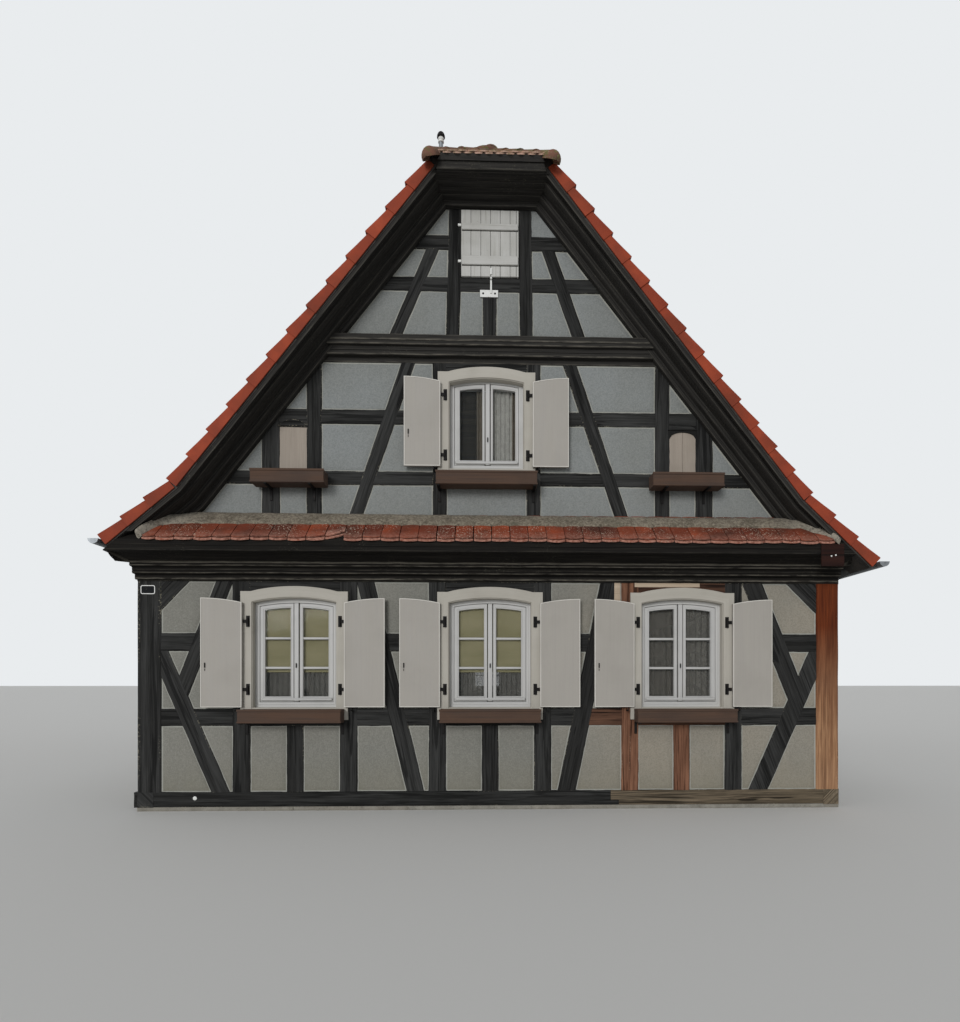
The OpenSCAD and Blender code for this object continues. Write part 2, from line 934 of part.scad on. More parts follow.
module eave_2d(knee, f, eave) {
    ki = kin(roof_t, f);
    tv = roof_t / cos(pitch);
    kz = ridge_z - tp * knee;
    ez = kz - tan(f) * (eave - knee);
    polygon([
        [-knee, kz], [-eave, ez], [-eave + roof_t * sin(f), ez - roof_t * cos(f)],
        [-knee + ki, ridge_z - tv - tp * (knee - ki)]
    ]);
}

module main_roof() {
    difference() {
        slice_y(-half_l - verge, half_l + verge) children();
        at_gables() above_hip(0);
    }
}

module left_roof() {
    color("firebrick") main_roof() translate([ridge_x, 0]) slope_2d(knee_left, flare_left);
}

module right_roof() {
    color("firebrick") main_roof() translate([ridge_x, 0]) mirror([1, 0])
        slope_2d(knee_right, flare_right);
}

module eave_roofs() {
    color("firebrick") slice_y(-half_l - verge, half_l + verge) translate([ridge_x, 0]) {
        eave_2d(knee_left, flare_left, eave_left);
        mirror([1, 0]) eave_2d(knee_right, flare_right, eave_right);
    }
}

module half_hips() {
    color("firebrick") at_gables() intersection() {
        translate([0, -hip_over, hip_z]) rotate([hip_pitch, 0, 0])
            translate([-1500, 0, -hip_t]) cube([3000, 1600, hip_t]);
        slice_y(-hip_over - 100, 1500) under_roof(roof_t, roof_low);
    }
}

// Everything inside the outer faces of the roof at one end
module roof_bulk() {
    difference() {
        slice_y(-hip_over - 300, 3000) under_roof(0, roof_low);
        above_hip(0);
    }
}

module ridge_cap() {
    translate([ridge_x, hip_run - hip_over - 20, ridge_z - 35]) rotate([-90, 0, 0])
        rotate([0, 0, 15]) cylinder(r = cap_r, h = half_l - hip_run + hip_over + 19, $fn = 12);
}

module ridge_tiles() {
    color("indianred") at_gables() difference() {
        ridge_cap();
        slice_y(-hip_over, half_l + 100) under_roof(0, roof_low);
    }
}

module hip_cap(s) {
    len = sqrt(hip_half * hip_half + hip_run * hip_run + pow(ridge_z - hip_z, 2));
    translate([ridge_x + s * hip_half, -hip_over, hip_z - hip_sink])
        rotate([0, 0, atan2(hip_run, -s * hip_half)])
        rotate([0, acos((ridge_z - hip_z) / len), 0])
        translate([0, 0, -30]) cylinder(r = cap_r, h = len - 230, $fn = 12);
}

module hip_tiles() {
    color("indianred") at_gables() for (s = [-1, 1]) difference() {
        hip_cap(s);
        roof_bulk();
        ridge_cap();
    }
}

// Verge tiles up one slope, from depth low under the roof's face: x and z of the foot,
// pitch, length and number of tiles
module verge_row(x, z, a, len, n, low) {
    g = len / n;
    for (i = [0 : n - 1]) translate([x, z]) rotate(a)
        polygon([
            [i * g + 6, low], [(i + 1) * g - 6, low], [(i + 1) * g - 6, 10], [i * g + 6, 38]
        ]);
}

module verge_side(knee, kz, f, eave, ez) {
    lf = (eave - knee) / cos(f);
    lm = (hip_z - kz) / sin(pitch) - 140;
    nm = round(lm / verge_gauge);
    slice_y(-verge - 28, -verge + 200) {
        verge_row(-eave, ez, f, lf, 3, seam);
        verge_row(-knee, kz, pitch, lm, nm, seam);
    }
    slice_y(-verge - 28, -verge - seam) {
        verge_row(-eave, ez, f, lf, 3, -95);
        verge_row(-knee, kz, pitch, lm, nm, -95);
    }
}

module verge_tiles() {
    color("brown") at_gables() translate([ridge_x, 0, 0]) {
        verge_side(knee_left, knee_lz, flare_left, eave_left, eave_lz);
        mirror([1, 0, 0])
            verge_side(knee_right, knee_rz, flare_right, eave_right, eave_rz);
    }
}

gutter_r = 55;
gutter_wall = 5;
gutter_out = 45;
gutter_drop = 20;

// Gutter drawn for the left eave
module gutter(eave, ez) {
    length = body_l + 2 * verge + 24;
    translate([-eave - gutter_out, -length / 2, ez - gutter_drop])
        rotate([-90, 0, 0]) difference() {
            cylinder(r = gutter_r, h = length, $fn = 48);
            translate([0, 0, gutter_wall])
                cylinder(r = gutter_r - gutter_wall, h = length - 2 * gutter_wall, $fn = 48);
            translate([-100, -200, -1]) cube([200, 200, length + 2]);
        }
}

// Flat straps from the roof's edge over the gutter
module gutter_straps(eave, ez, f) {
    step = 900;
    n = floor((body_l + 2 * verge - 900) / step);
    for (i = [0 : n])
        slice_y(-half_l - verge + 400 + i * step, -half_l - verge + 424 + i * step)
            difference() {
                rect(-eave - gutter_out - gutter_r + 1, -eave + 80, ez - gutter_drop,
                    ez - gutter_drop + 6);
                polygon([
                    [-eave, ez], [-eave + roof_t * sin(f), ez - roof_t * cos(f)],
                    [-eave + 400, ez - roof_t], [-eave + 400, ez + 300]
                ]);
            }
}

module gutters() {
    color("slategray") translate([ridge_x, 0, 0]) {
        gutter(eave_left, eave_lz);
        gutter_straps(eave_left, eave_lz, flare_left);
        mirror([1, 0, 0]) {
            gutter(eave_right, eave_rz);
            gutter_straps(eave_right, eave_rz, flare_right);
        }
    }
}

pipe_r = 40;
pipe_seam = 0.3;
pipe_off = 30;
neck_drop = 70;
neck_foot = 150;
clip_z = [600, 1500, 2300];
clip_l = pipe_off + 10 + panel_inset;

// Half of space beyond the point [x, z] in the direction a, tilted from +Z towards +X
module beyond(x, z, a) {
    translate([x, 0, z]) rotate([0, a, 0]) translate([-600, -600, 0]) cube([1200, 1200, 3000]);
}

// Downpipe at the rear end of one eave, on the side s: stub, neck and long pipe, with seams
module downpipe(s, eave, ez) {
    gx = s * (eave + gutter_out) + ridge_x;
    wx = s * (half_w + pipe_r + pipe_off);
    neck_z = ez - gutter_drop - gutter_r - neck_drop;
    foot_z = head_z - neck_foot;
    lean = atan2(gx - wx, neck_z - foot_z);
    run = (neck_z - foot_z) / cos(lean);
    translate([0, half_l - 500, 0]) {
        difference() {
            translate([gx, 0, neck_z - 200]) cylinder(r = pipe_r, h = 450, $fn = 36);
            beyond(gx, neck_z + pipe_seam, lean / 2 + 180);
            translate([gx, 600, ez - gutter_drop]) rotate([90, 0, 0])
                cylinder(r = gutter_r + pipe_seam, h = 1200, $fn = 48);
            translate([gx - 100, -100, ez - gutter_drop - gutter_wall]) cube([200, 200, 600]);
        }
        difference() {
            translate([wx, 0, foot_z]) rotate([0, lean, 0]) translate([0, 0, -200])
                cylinder(r = pipe_r, h = run + 400, $fn = 36);
            beyond(gx, neck_z, lean / 2);
            beyond(wx, foot_z, lean / 2 + 180);
        }
        difference() {
            translate([wx, 0, 70]) cylinder(r = pipe_r, h = foot_z + 130, $fn = 36);
            beyond(wx, foot_z - pipe_seam, lean / 2);
        }
    }
}

// Clips between the long pipe and the wall
module pipe_clips(s) {
    for (z = clip_z) difference() {
        translate([s * (half_w + (pipe_off + 10 - panel_inset) / 2) - clip_l / 2, half_l - 512, z])
            cube([clip_l, 24, 30]);
        translate([s * (half_w + pipe_r + pipe_off), half_l - 500, z - 10])
            cylinder(r = pipe_r + pipe_seam, h = 50, $fn = 36);
    }
}

module downpipes() {
    color("slategray") {
        downpipe(-1, eave_left, eave_lz);
        downpipe(1, eave_right, eave_rz);
        for (s = [-1, 1]) pipe_clips(s);
    }
}

// Surround and lining of one window: the face at y = 0 is the face of the timbers
module surround(half, z0, h) {
    top = z0 + h;
    slice_y(-band_out, 0) difference() {
        union() {
            rect(-half - band_w, half + band_w, z0 - band_w - 5, top + 125);
            translate([0, band_w]) arched(half - 10, top - 20, 20, open_rise);
        }
        arched(half, z0, h, open_rise);
    }
    slice_y(0, wall_t) difference() {
        rect(-half - lining, half + lining, z0 - lining, top + open_rise + lining);
        arched(half, z0, h, open_rise);
    }
}

// Places a child at every ground floor window: front, rear and both sides
module at_ground_windows() {
    for (c = wins) {
        at_front() translate([c, 0, 0]) children();
        at_rear() translate([c, 0, 0]) children();
    }
    at_side_windows() children();
}

module at_side_windows() {
    for (c = side_wins) {
        translate([-half_w, c, 0]) rotate([0, 0, -90]) children();
        if (c != door_y) translate([half_w, c, 0]) rotate([0, 0, 90]) children();
    }
}

module at_attic_windows() {
    at_gables() translate([attic_win_x, 0, 0]) children();
}

module window_surrounds() {
    color("antiquewhite") {
        at_ground_windows() surround(open_half, open_z, open_h);
        at_attic_windows() surround(attic_half, attic_open_z, attic_open_h);
    }
}

// Glass areas of one window, as one flat shape
module panes(half, z0, h, rows) {
    inner = mullion_half;
    outer = half - stile_w;
    z_low = z0 + stile_w + 10;
    step = (z0 + h - pane_drop - z_low) / rows;
    intersection() {
        for (s = [-1, 1], i = [0 : rows - 1])
            rect(s > 0 ? inner : -outer, s > 0 ? outer : -inner, z_low + i * step,
                z_low + (i + 1) * step - (i < rows - 1 ? bar_w : -200));
        arched(half, z0 - 115, h, open_rise);
    }
}

module frame_2d(half, z0, h, rows) {
    difference() {
        arched(half, z0, h, open_rise);
        panes(half, z0, h, rows);
    }
}

module window_frames() {
    color("white") {
        at_ground_windows() slice_y(frame_back, frame_back + frame_d)
            frame_2d(open_half, open_z, open_h, 3);
        at_attic_windows() slice_y(frame_back, frame_back + frame_d)
            frame_2d(attic_half, attic_open_z, attic_open_h, 1);
    }
}

module window_glass() {
    mid = frame_back + frame_d / 2;
    color("lightblue") {
        at_ground_windows() slice_y(mid - glass_t / 2, mid + glass_t / 2)
            panes(open_half, open_z, open_h, 3);
        at_attic_windows() slice_y(mid - glass_t / 2, mid + glass_t / 2)
            panes(attic_half, attic_open_z, attic_open_h, 1);
    }
}

// Roller blinds against the frames of the left and the middle window
module roller_blinds() {
    back = frame_back + frame_d;
    color("darkkhaki") at_front() for (c = [wins[0], wins[1]])
        translate([c, 0, 0]) slice_y(back, back + blind_t)
            rect(-open_half + 30, open_half - 30, open_z + blind_foot, open_z + open_h - 10);
}

// Thin rods between the linings, above the curtains
module curtain_rod(half, z) {
    translate([-half, curtain_y, z]) rotate([0, 90, 0])
        cylinder(r = rod_r, h = 2 * half, $fn = 36);
}

module curtain_rods() {
    color("whitesmoke") {
        at_ground_windows() curtain_rod(open_half, open_z + open_h - rod_drop);
        at_attic_windows() curtain_rod(attic_half, attic_open_z + attic_open_h - rod_drop);
    }
}

// Space of one gathered curtain, just below its rod
module curtain_space(half, z0, h) {
    translate([-half + 10, curtain_y - curtain_t / 2, z0 + 20])
        cube([2 * half - 20, curtain_t, h - rod_drop - rod_r - 20.3]);
}

module curtains() {
    color("ivory") {
        at_ground_windows() curtain_space(open_half, open_z, open_h);
        at_attic_windows() curtain_space(attic_half, attic_open_z, attic_open_h);
    }
}

module entrance_door() {
    x = half_w - wall_t;
    frame = 60;
    color("saddlebrown") {
        slice_x(x + 40, x + 130) difference() {
            door_hole();
            rect(door_y - door_w / 2 + frame, door_y + door_w / 2 - frame,
                sill_z + 20, sill_z + door_h - frame);
        }
        slice_x(x + 70, x + 115)
            rect(door_y - door_w / 2 + frame, door_y + door_w / 2 - frame,
                sill_z + 20, sill_z + door_h - frame);
    }
}

module door_step() {
    color("gray") translate([half_w, door_y - 600, 0]) cube([300, 1200, 130]);
}

// Leaf of a left shutter, drawn closed in its opening
module leaf_2d(half, z0, h) {
    intersection() {
        arched(half - leaf_gap, z0 + leaf_gap, h - 2 * leaf_gap, open_rise);
        rect(-half, -leaf_gap, z0 - 10, z0 + h + open_rise + 10);
    }
}

function hinge_heights(h) = h > 1100 ? [205, h - 215] : [145, h - 143];

// Moving left shutter, drawn closed, then turned about its axis until it lies open
module open_leaf(half, z0, h) {
    axis = [-half - axis_off, -axis_out, 0];
    translate(axis) rotate([0, 0, 180]) translate(-axis) {
        difference() {
            union() {
                slice_y(-axis_out + 3, -axis_out + 3 + leaf_t) leaf_2d(half, z0, h);
                for (z = hinge_heights(h)) translate([axis[0], axis[1], z0 + z]) {
                    translate([0, 0, -eye_h / 2])
                        cylinder(r = eye_r, h = eye_h, $fn = 48);
                    translate([0, -2, -18]) cube([axis_off + 85, 5, 36]);
                }
            }
            for (z = hinge_heights(h))
                translate([axis[0], axis[1], z0 + z - eye_h])
                    cylinder(r = pin_r + pin_gap, h = 2 * eye_h, $fn = 48);
        }
    }
}

module window_leaf(c, s, half, z0, h) {
    color("lightgray") at_front() translate([c, 0, 0]) {
        if (s < 0) open_leaf(half, z0, h);
        else mirror([1, 0, 0]) open_leaf(half, z0, h);
    }
}

module left_window_left_shutter() window_leaf(wins[0], -1, open_half, open_z, open_h);
module left_window_right_shutter() window_leaf(wins[0], 1, open_half, open_z, open_h);
module middle_window_left_shutter() window_leaf(wins[1], -1, open_half, open_z, open_h);
module middle_window_right_shutter() window_leaf(wins[1], 1, open_half, open_z, open_h);
module right_window_left_shutter() window_leaf(wins[2], -1, open_half, open_z, open_h);
module right_window_right_shutter() window_leaf(wins[2], 1, open_half, open_z, open_h);
module attic_window_left_shutter()
    window_leaf(attic_win_x, -1, attic_half, attic_open_z, attic_open_h);
module attic_window_right_shutter()
    window_leaf(attic_win_x, 1, attic_half, attic_open_z, attic_open_h);

// Fixed hinge halves on the surrounds: a plate, an arm below the eye, and the pin
module pintles(half, z0, h) {
    for (s = [-1, 1], z = hinge_heights(h))
        translate([s * (half + axis_off), -axis_out, z0 + z]) {
            translate([-21, axis_out - band_out - plate_t, -62]) cube([42, plate_t, 125]);
            translate([-8, -eye_r, -62])
                cube([16, axis_out - band_out + eye_r, 62 - eye_h / 2 - pin_gap]);
            translate([0, 0, -40]) cylinder(r = pin_r, h = 80, $fn = 48);
        }
}

module shutter_pintles() {
    color("black") at_front() {
        for (c = wins) translate([c, 0, 0]) pintles(open_half, open_z, open_h);
        translate([attic_win_x, 0, 0]) pintles(attic_half, attic_open_z, attic_open_h);
    }
}

// Stops on the studs, just below the open shutters
module stops(half, z0) {
    for (s = [-1, 1]) translate([s * (half + 2 * axis_off + leaf_gap + 75), 0, z0 - 40]) {
        translate([-6, -100, 0]) cube([12, 100, 12]);
        translate([-6, -106, 0]) cube([12, 10, 38]);
    }
}

module shutter_stops() {
    color("black") at_front() {
        for (c = wins) translate([c, 0, 0]) stops(open_half, open_z);
        translate([attic_win_x, 0, 0]) stops(attic_half, attic_open_z);
    }
}

// Shutters of the side and rear windows, fixed against the surrounds
module fixed_pair(half, z0, h) {
    for (s = [-1, 1]) scale([s, 1, 1])
        translate([-2 * (half + axis_off), -band_out, 0]) mirror([1, 0, 0])
            slice_y(-leaf_t, 0) leaf_2d(half, z0, h);
}

module fixed_shutters() {
    color("lightgray") {
        at_side_windows() fixed_pair(open_half, open_z, open_h);
        at_rear() {
            for (c = wins) translate([c, 0, 0]) fixed_pair(open_half, open_z, open_h);
            translate([attic_win_x, 0, 0]) fixed_pair(attic_half, attic_open_z, attic_open_h);
        }
    }
}

hatch_door = [top_hatch[0] + 80, top_hatch[1] - 95];
hatch_ledges = [[125, 225], [520, 590]];

module attic_hatches() {
    color("linen") at_gables() {
        slice_y(-30, 0) rect(hatch_door[0], hatch_door[1], upper_mid[1], hatch_top);
        slice_y(-48, -30) for (z = hatch_ledges)
            rect(hatch_door[0] + 8, hatch_door[1] - 8, upper_mid[1] + z[0], upper_mid[1] + z[1]);
        slice_y(5, 35) rect(hatch_l[0], hatch_l[1], attic_low[1], hatch_z1);
        slice_y(5, 35) rect(hatch_r[0], hatch_r[1], attic_low[1], hatch_z1);
    }
}

// Hinge blocks of the top hatch, and its latch plate with a rod
module hatch_fittings() {
    color("whitesmoke") at_front() {
        for (z = [upper_mid[1] + 180, upper_mid[1] + 590])
            translate([hatch_door[0] - 35, -20, z - 12]) cube([35, 20, 24]);
        slice_y(-8, 0)
            rect(-155, 50, upper_mid[0] - min(70, (upper_mid[0] - mid_top) / 2), upper_mid[0] + 10);
        translate([-40, -20, upper_mid[0] - 30]) cube([20, 12, 170]);
        translate([-40, -42, upper_mid[1] + 20]) cube([20, 12, 70]);
        translate([-40, -42, upper_mid[0] + 120]) cube([20, 22, 20]);
    }
}

// Plain window box on two brackets
module flower_box(half, legs, z0, out) {
    depth = 200;
    translate([-half, -out - depth, z0]) cube([2 * half, depth, 150]);
    for (s = [-1, 1]) translate([s * legs - 15, 0, 0]) {
        translate([0, -12, z0 - 140]) cube([30, 12, 140]);
        translate([0, -out - depth + 5, z0 - 12]) cube([30, out + depth - 5, 12]);
    }
}

module flower_boxes() {
    color("saddlebrown") at_front() {
        for (c = wins) translate([c, 0, 0]) flower_box(560, open_half + 70, open_z - 165, band_out);
        translate([attic_win_x, 0, 0])
            flower_box(560, attic_half + 115, attic_open_z - 240, band_out);
        for (x = [(hatch_l[0] + hatch_l[1]) / 2, (hatch_r[0] + hatch_r[1]) / 2])
            translate([x, 0, 0]) flower_box(400, 240, attic_open_z - 240, band_out);
    }
}

// Bare plate at the left post, and a small round plate on the sill
module wall_plates() {
    color("whitesmoke") at_front() {
        translate([-half_w + 40, -4, head_z - 150]) cube([160, 4, 100]);
        translate([-half_w + 640, 0, sill_z - 65]) rotate([90, 0, 0]) cylinder(r = 22, h = 4, $fn = 36);
    }
}

// Short pipe through the left slope, with a hood
module service_mast() {
    color("gray") at_front() difference() {
        translate([-620, 300, 0]) {
            translate([0, 0, ridge_z - 1036]) cylinder(r = 25, h = 1020, $fn = 36);
            translate([0, 0, ridge_z - 36]) cylinder(r1 = 45, r2 = 20, h = 66, $fn = 36);
        }
        slice_y(0, 600) under_roof(0, roof_low);
    }
}

footing();
floors();
gable_sills();
side_sills();
replaced_sill();
corner_posts();
replaced_corner_post();
ground_studs();
replaced_studs();
ground_rails();
replaced_rails();
ground_braces();
ground_panels();
gable_beams();
attic_studs();
attic_rails();
attic_braces();
attic_panels();
front_cornice();
pent_roof_tiles();
pent_roof_mortar();
raking_cornices();
half_hip_cornices();
eave_plates();
left_roof();
right_roof();
eave_roofs();
half_hips();
ridge_tiles();
hip_tiles();
verge_tiles();
gutters();
downpipes();
window_surrounds();
window_frames();
window_glass();
roller_blinds();
curtain_rods();
curtains();
entrance_door();
door_step();
fixed_shutters();
shutter_pintles();
shutter_stops();
attic_hatches();
hatch_fittings();
flower_boxes();
wall_plates();
service_mast();
left_window_left_shutter();
left_window_right_shutter();
middle_window_left_shutter();
middle_window_right_shutter();
right_window_left_shutter();
right_window_right_shutter();
attic_window_left_shutter();
attic_window_right_shutter();
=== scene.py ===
"""Looks of the half-timbered farmhouse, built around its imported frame, in metres."""

import itertools
import math
import random

import bmesh
import bpy
from mathutils import Matrix, Vector, noise


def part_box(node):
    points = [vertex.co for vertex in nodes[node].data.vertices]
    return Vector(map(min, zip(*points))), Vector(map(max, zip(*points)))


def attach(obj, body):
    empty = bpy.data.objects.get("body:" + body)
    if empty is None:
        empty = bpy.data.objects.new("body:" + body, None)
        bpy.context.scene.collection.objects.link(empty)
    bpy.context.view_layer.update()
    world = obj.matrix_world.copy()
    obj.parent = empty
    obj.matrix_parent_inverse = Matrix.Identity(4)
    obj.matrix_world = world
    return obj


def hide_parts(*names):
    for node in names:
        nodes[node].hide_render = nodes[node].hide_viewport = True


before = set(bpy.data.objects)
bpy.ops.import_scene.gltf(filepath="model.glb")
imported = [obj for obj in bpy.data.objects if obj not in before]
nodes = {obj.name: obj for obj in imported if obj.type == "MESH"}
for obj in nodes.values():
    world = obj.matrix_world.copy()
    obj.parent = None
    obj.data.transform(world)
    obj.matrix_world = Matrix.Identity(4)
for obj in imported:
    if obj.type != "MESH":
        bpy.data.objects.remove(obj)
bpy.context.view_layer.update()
rng = random.Random(7)
noise.seed_set(7)  # noise_vector would take its offsets from the clock

# Plan and levels, from the frame
UP = Vector((0, 0, 1))
FOOT_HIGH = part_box("footing")[1]
HALF_W, HALF_L = FOOT_HIGH.x, FOOT_HIGH.y
FOOTING_Z = FOOT_HIGH.z
POST_LOW, POST_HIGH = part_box("corner_posts")
SILL_Z, HEAD_Z = POST_LOW.z, POST_HIGH.z
WALL_T = 0.18
PANEL_INSET = 0.012

# The roof: ridge, pitches, and the bends and eaves of both slopes from the ridge's line
RIDGE_X = -0.03
PITCH = math.radians(51.8)
RIDGE_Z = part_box("left_roof")[1].z
KNEE = {-1: 3.42, 1: 3.49}
FLARE = {-1: math.radians(40), 1: math.radians(43.5)}
EAVE = {-1: 4.14, 1: 4.24}
ROOF_T = 0.11
VERGE = 0.45
VERGE_FRONT = 0.40
HIP_DROP = 0.861
HIP_Z = RIDGE_Z - HIP_DROP
HIP_PITCH = math.radians(39.5)
HIP_OVER = 0.5
HIP_CORNICE_Z = HIP_Z - 0.235
RIDGE_END = HALF_L + HIP_OVER - HIP_DROP / math.tan(HIP_PITCH)
HIP_T = 0.06
ROOF_BACK = ROOF_T + 0.001

# Beams, the pent roof and its broken tile
HEAD_TOP = 2.79
MID_Z = 5.08
PENT_Z = 2.99
PENT_PITCH = math.radians(39)
MORTAR_H = 0.0223
BROKEN_JOINT = -1.613

# Windows: places along their walls, openings and arches; the hatches of the gable
WINS = (-2.245, -0.04, 2.165)
SIDE_WINS = (-3.4, 0, 3.4)
OPEN_Z, OPEN_H = 1.165, 1.185
ATTIC_WIN_X = -0.08
ATTIC_OPEN_Z, ATTIC_OPEN_H = 3.88, 0.97
RISE = 0.05
HATCH_DOOR = (-0.37, 0.285)
HATCH_Z0, HATCH_TOP = 6.06, 6.815
UPPER_MID = 5.91
SMALL_HATCHES = ((-2.422, -2.112), (2.02, 2.33))
SMALL_Z0, SMALL_Z1 = 3.84, 4.34

# The shutters' pins: how far beside the opening and before the wall
PIN = 0.048

# Flower boxes: their near and far face from the wall, thickness of a board, height
BOX_NEAR, BOX_FAR = -0.035, -0.235
BOX_WALL, BOX_H = 0.012, 0.15

# Grain of level and standing timbers, and the rings of a timber's worn edge:
# inset, how far it stands out, wear, material
LEVEL = Vector((1, 0))
STANDING = Vector((0, 1))
TIMBER_RINGS = [(0, -0.006, 0.8, 0), (0.004, -0.0015, 1, 0), (0.010, 0, 0, 0)]

# Edges that bend by more than this show as arrises
SHARP = math.radians(38)

# Turns the axis of a turned body out of the front wall
OUTWARDS = Matrix.Rotation(math.pi / 2, 4, "X")


def camera():
    """The camera of the photograph, level, with its picture shifted up."""
    photo_w, photo_h = 960, 1022
    focal, centre_x, centre_y = 645, 505, 680
    sensor = 36
    data = bpy.data.cameras.new("camera")
    data.sensor_width = sensor
    data.lens = focal / photo_h * sensor
    data.shift_x = (photo_w / 2 - centre_x) / photo_h
    data.shift_y = (centre_y - photo_h / 2) / photo_h
    eye = bpy.data.objects.new("camera", data)
    eye.location = (-0.094, -13.36, 1.476)
    eye.rotation_euler = (math.radians(90), 0, math.radians(-1.74))
    bpy.context.scene.collection.objects.link(eye)
    bpy.context.scene.camera = eye


def rgb(code):
    """Linear colour of an sRGB code such as a09a8e."""
    parts = [int(code[i : i + 2], 16) / 255 for i in (0, 2, 4)]
    linear = [c / 12.92 if c <= 0.04045 else ((c + 0.055) / 1.055) ** 2.4 for c in parts]
    return (*linear, 1.0)


class Paint:
    """A node material, with short ways to add and join its nodes."""

    def __init__(self, name):
        self.data = bpy.data.materials.new(name)
        self.data.use_nodes = True
        self.tree = self.data.node_tree
        self.shader = self.tree.nodes["Principled BSDF"]

    def put(self, socket, value):
        if isinstance(value, bpy.types.NodeSocket):
            self.tree.links.new(value, socket)
        else:
            socket.default_value = value

    def node(self, kind, inputs, **settings):
        made = self.tree.nodes.new("ShaderNode" + kind)
        for name, value in settings.items():
            setattr(made, name, value)
        for name, value in inputs.items():
            self.put(made.inputs[name], value)
        return made

    def place(self, scale=(1, 1, 1), grain=False):
        """Coordinates in metres: in space, or along and across the grain."""
        if grain:
            source = self.node("UVMap", {}, uv_map="grain").outputs["UV"]
        else:
            source = self.node("TexCoord", {}).outputs["Object"]
        return self.node("Mapping", {"Vector": source, "Scale": scale}).outputs["Vector"]

    def noise(self, scale, detail, stretch=(1, 1, 1), warp=0.0, rough=0.5, grain=False):
        inputs = {"Vector": self.place(stretch, grain), "Scale": scale, "Detail": detail,
                  "Roughness": rough, "Distortion": warp}
        return self.node("TexNoise", inputs).outputs["Fac"]

    def fibres(self, detail, along, across, warp=0.0, rough=0.5):
        """Noise drawn out along the grain."""
        return self.noise(1.0, detail, (along, across, 1), warp, rough, True)

    def axis(self, name):
        return self.node("SeparateXYZ", {"Vector": self.place()}).outputs[name]

    def island(self):
        return self.node("NewGeometry", {}).outputs["Random Per Island"]

    def mark(self, name):
        """A value that the mesh holds at its points, such as its wear."""
        return self.node("Attribute", {}, attribute_name=name).outputs["Fac"]

    def span(self, value, low, high, to_low=0.0, to_high=1.0):
        inputs = {0: value, 1: low, 2: high, 3: to_low, 4: to_high}
        return self.node("MapRange", inputs).outputs[0]

    def math(self, kind, a, b):
        return self.node("Math", {0: a, 1: b}, operation=kind).outputs[0]

    def add(self, a, b):
        return self.math("ADD", a, b)

    def times(self, a, b):
        return self.math("MULTIPLY", a, b)

    def mix(self, share, a, b, kind="MIX"):
        made = self.node("Mix", {}, data_type="RGBA", blend_type=kind)
        self.put(made.inputs[0], share)
        self.put(made.inputs[6], a)
        self.put(made.inputs[7], b)
        return made.outputs[2]

    def ramp(self, value, low, high, dark, light):
        """From one colour to another while a value goes from low to high."""
        return self.mix(self.span(value, low, high), rgb(dark), rgb(light))

    def over(self, colour, value, low, high, amount, code):
        """Another colour laid over the first, by how far a value is from low to high."""
        return self.mix(self.span(value, low, high, 0, amount), colour, rgb(code))

    def finish(self, colour, rough, height=None, depth=0.001, metal=0.0, sheen=0.5):
        """Sets the shader: colour, roughness and a relief of that depth in metres."""
        self.put(self.shader.inputs["Base Color"], colour)
        self.put(self.shader.inputs["Roughness"], rough)
        self.shader.inputs["Metallic"].default_value = metal
        self.shader.inputs["Specular IOR Level"].default_value = sheen
        if height is not None:
            inputs = {"Height": height, "Distance": depth, "Strength": 1.0}
            relief = self.node("Bump", inputs).outputs["Normal"]
            self.put(self.shader.inputs["Normal"], relief)
        return self.data


def wood(name, dark, light, crack_colour, pale, bleached, cracks, upper=None):
    """Hewn wood: fibres, long cracks, blotches, and pale flecks along worn edges."""
    m = Paint(name)
    fibre = m.fibres(8, 2.5, 60, 0.4, 0.65)
    streak = m.fibres(4, 0.8, 16, 0.6)
    split = m.span(m.fibres(3, 0.55, 13, 1.1), 0.60, 0.64)
    hair = m.span(m.fibres(3, 0.9, 30, 0.9), 0.60, 0.66, 0, 0.6)
    split = m.times(m.math("MAXIMUM", split, hair), cracks)
    share = m.add(m.times(fibre, 0.6), m.times(streak, 0.45))
    share = m.add(share, m.times(m.island(), 0.10))
    colour = m.ramp(share, 0.46, 0.72, dark, light)
    colour = m.over(colour, m.noise(1.3, 4), 0.45, 0.75, 0.6, bleached)
    flecks = m.span(m.noise(48, 4, rough=0.6), 0.54, 0.62)
    patches = m.span(m.noise(1.9, 3), 0.50, 0.60)
    worn = m.times(m.mark("wear"), m.times(flecks, patches))
    colour = m.mix(m.times(worn, 0.75), colour, rgb(pale))
    colour = m.mix(split, colour, rgb(crack_colour))
    if upper:
        fresh = m.mix(1.0, colour, rgb(upper), "MULTIPLY")
        colour = m.mix(m.span(m.axis("Z"), 0.9, 2.1), colour, fresh)
    height = m.math("SUBTRACT", m.times(fibre, 0.4), split)
    return m.finish(colour, m.span(fibre, 0.2, 0.8, 0.7, 0.95), height, 0.006, sheen=0.15)


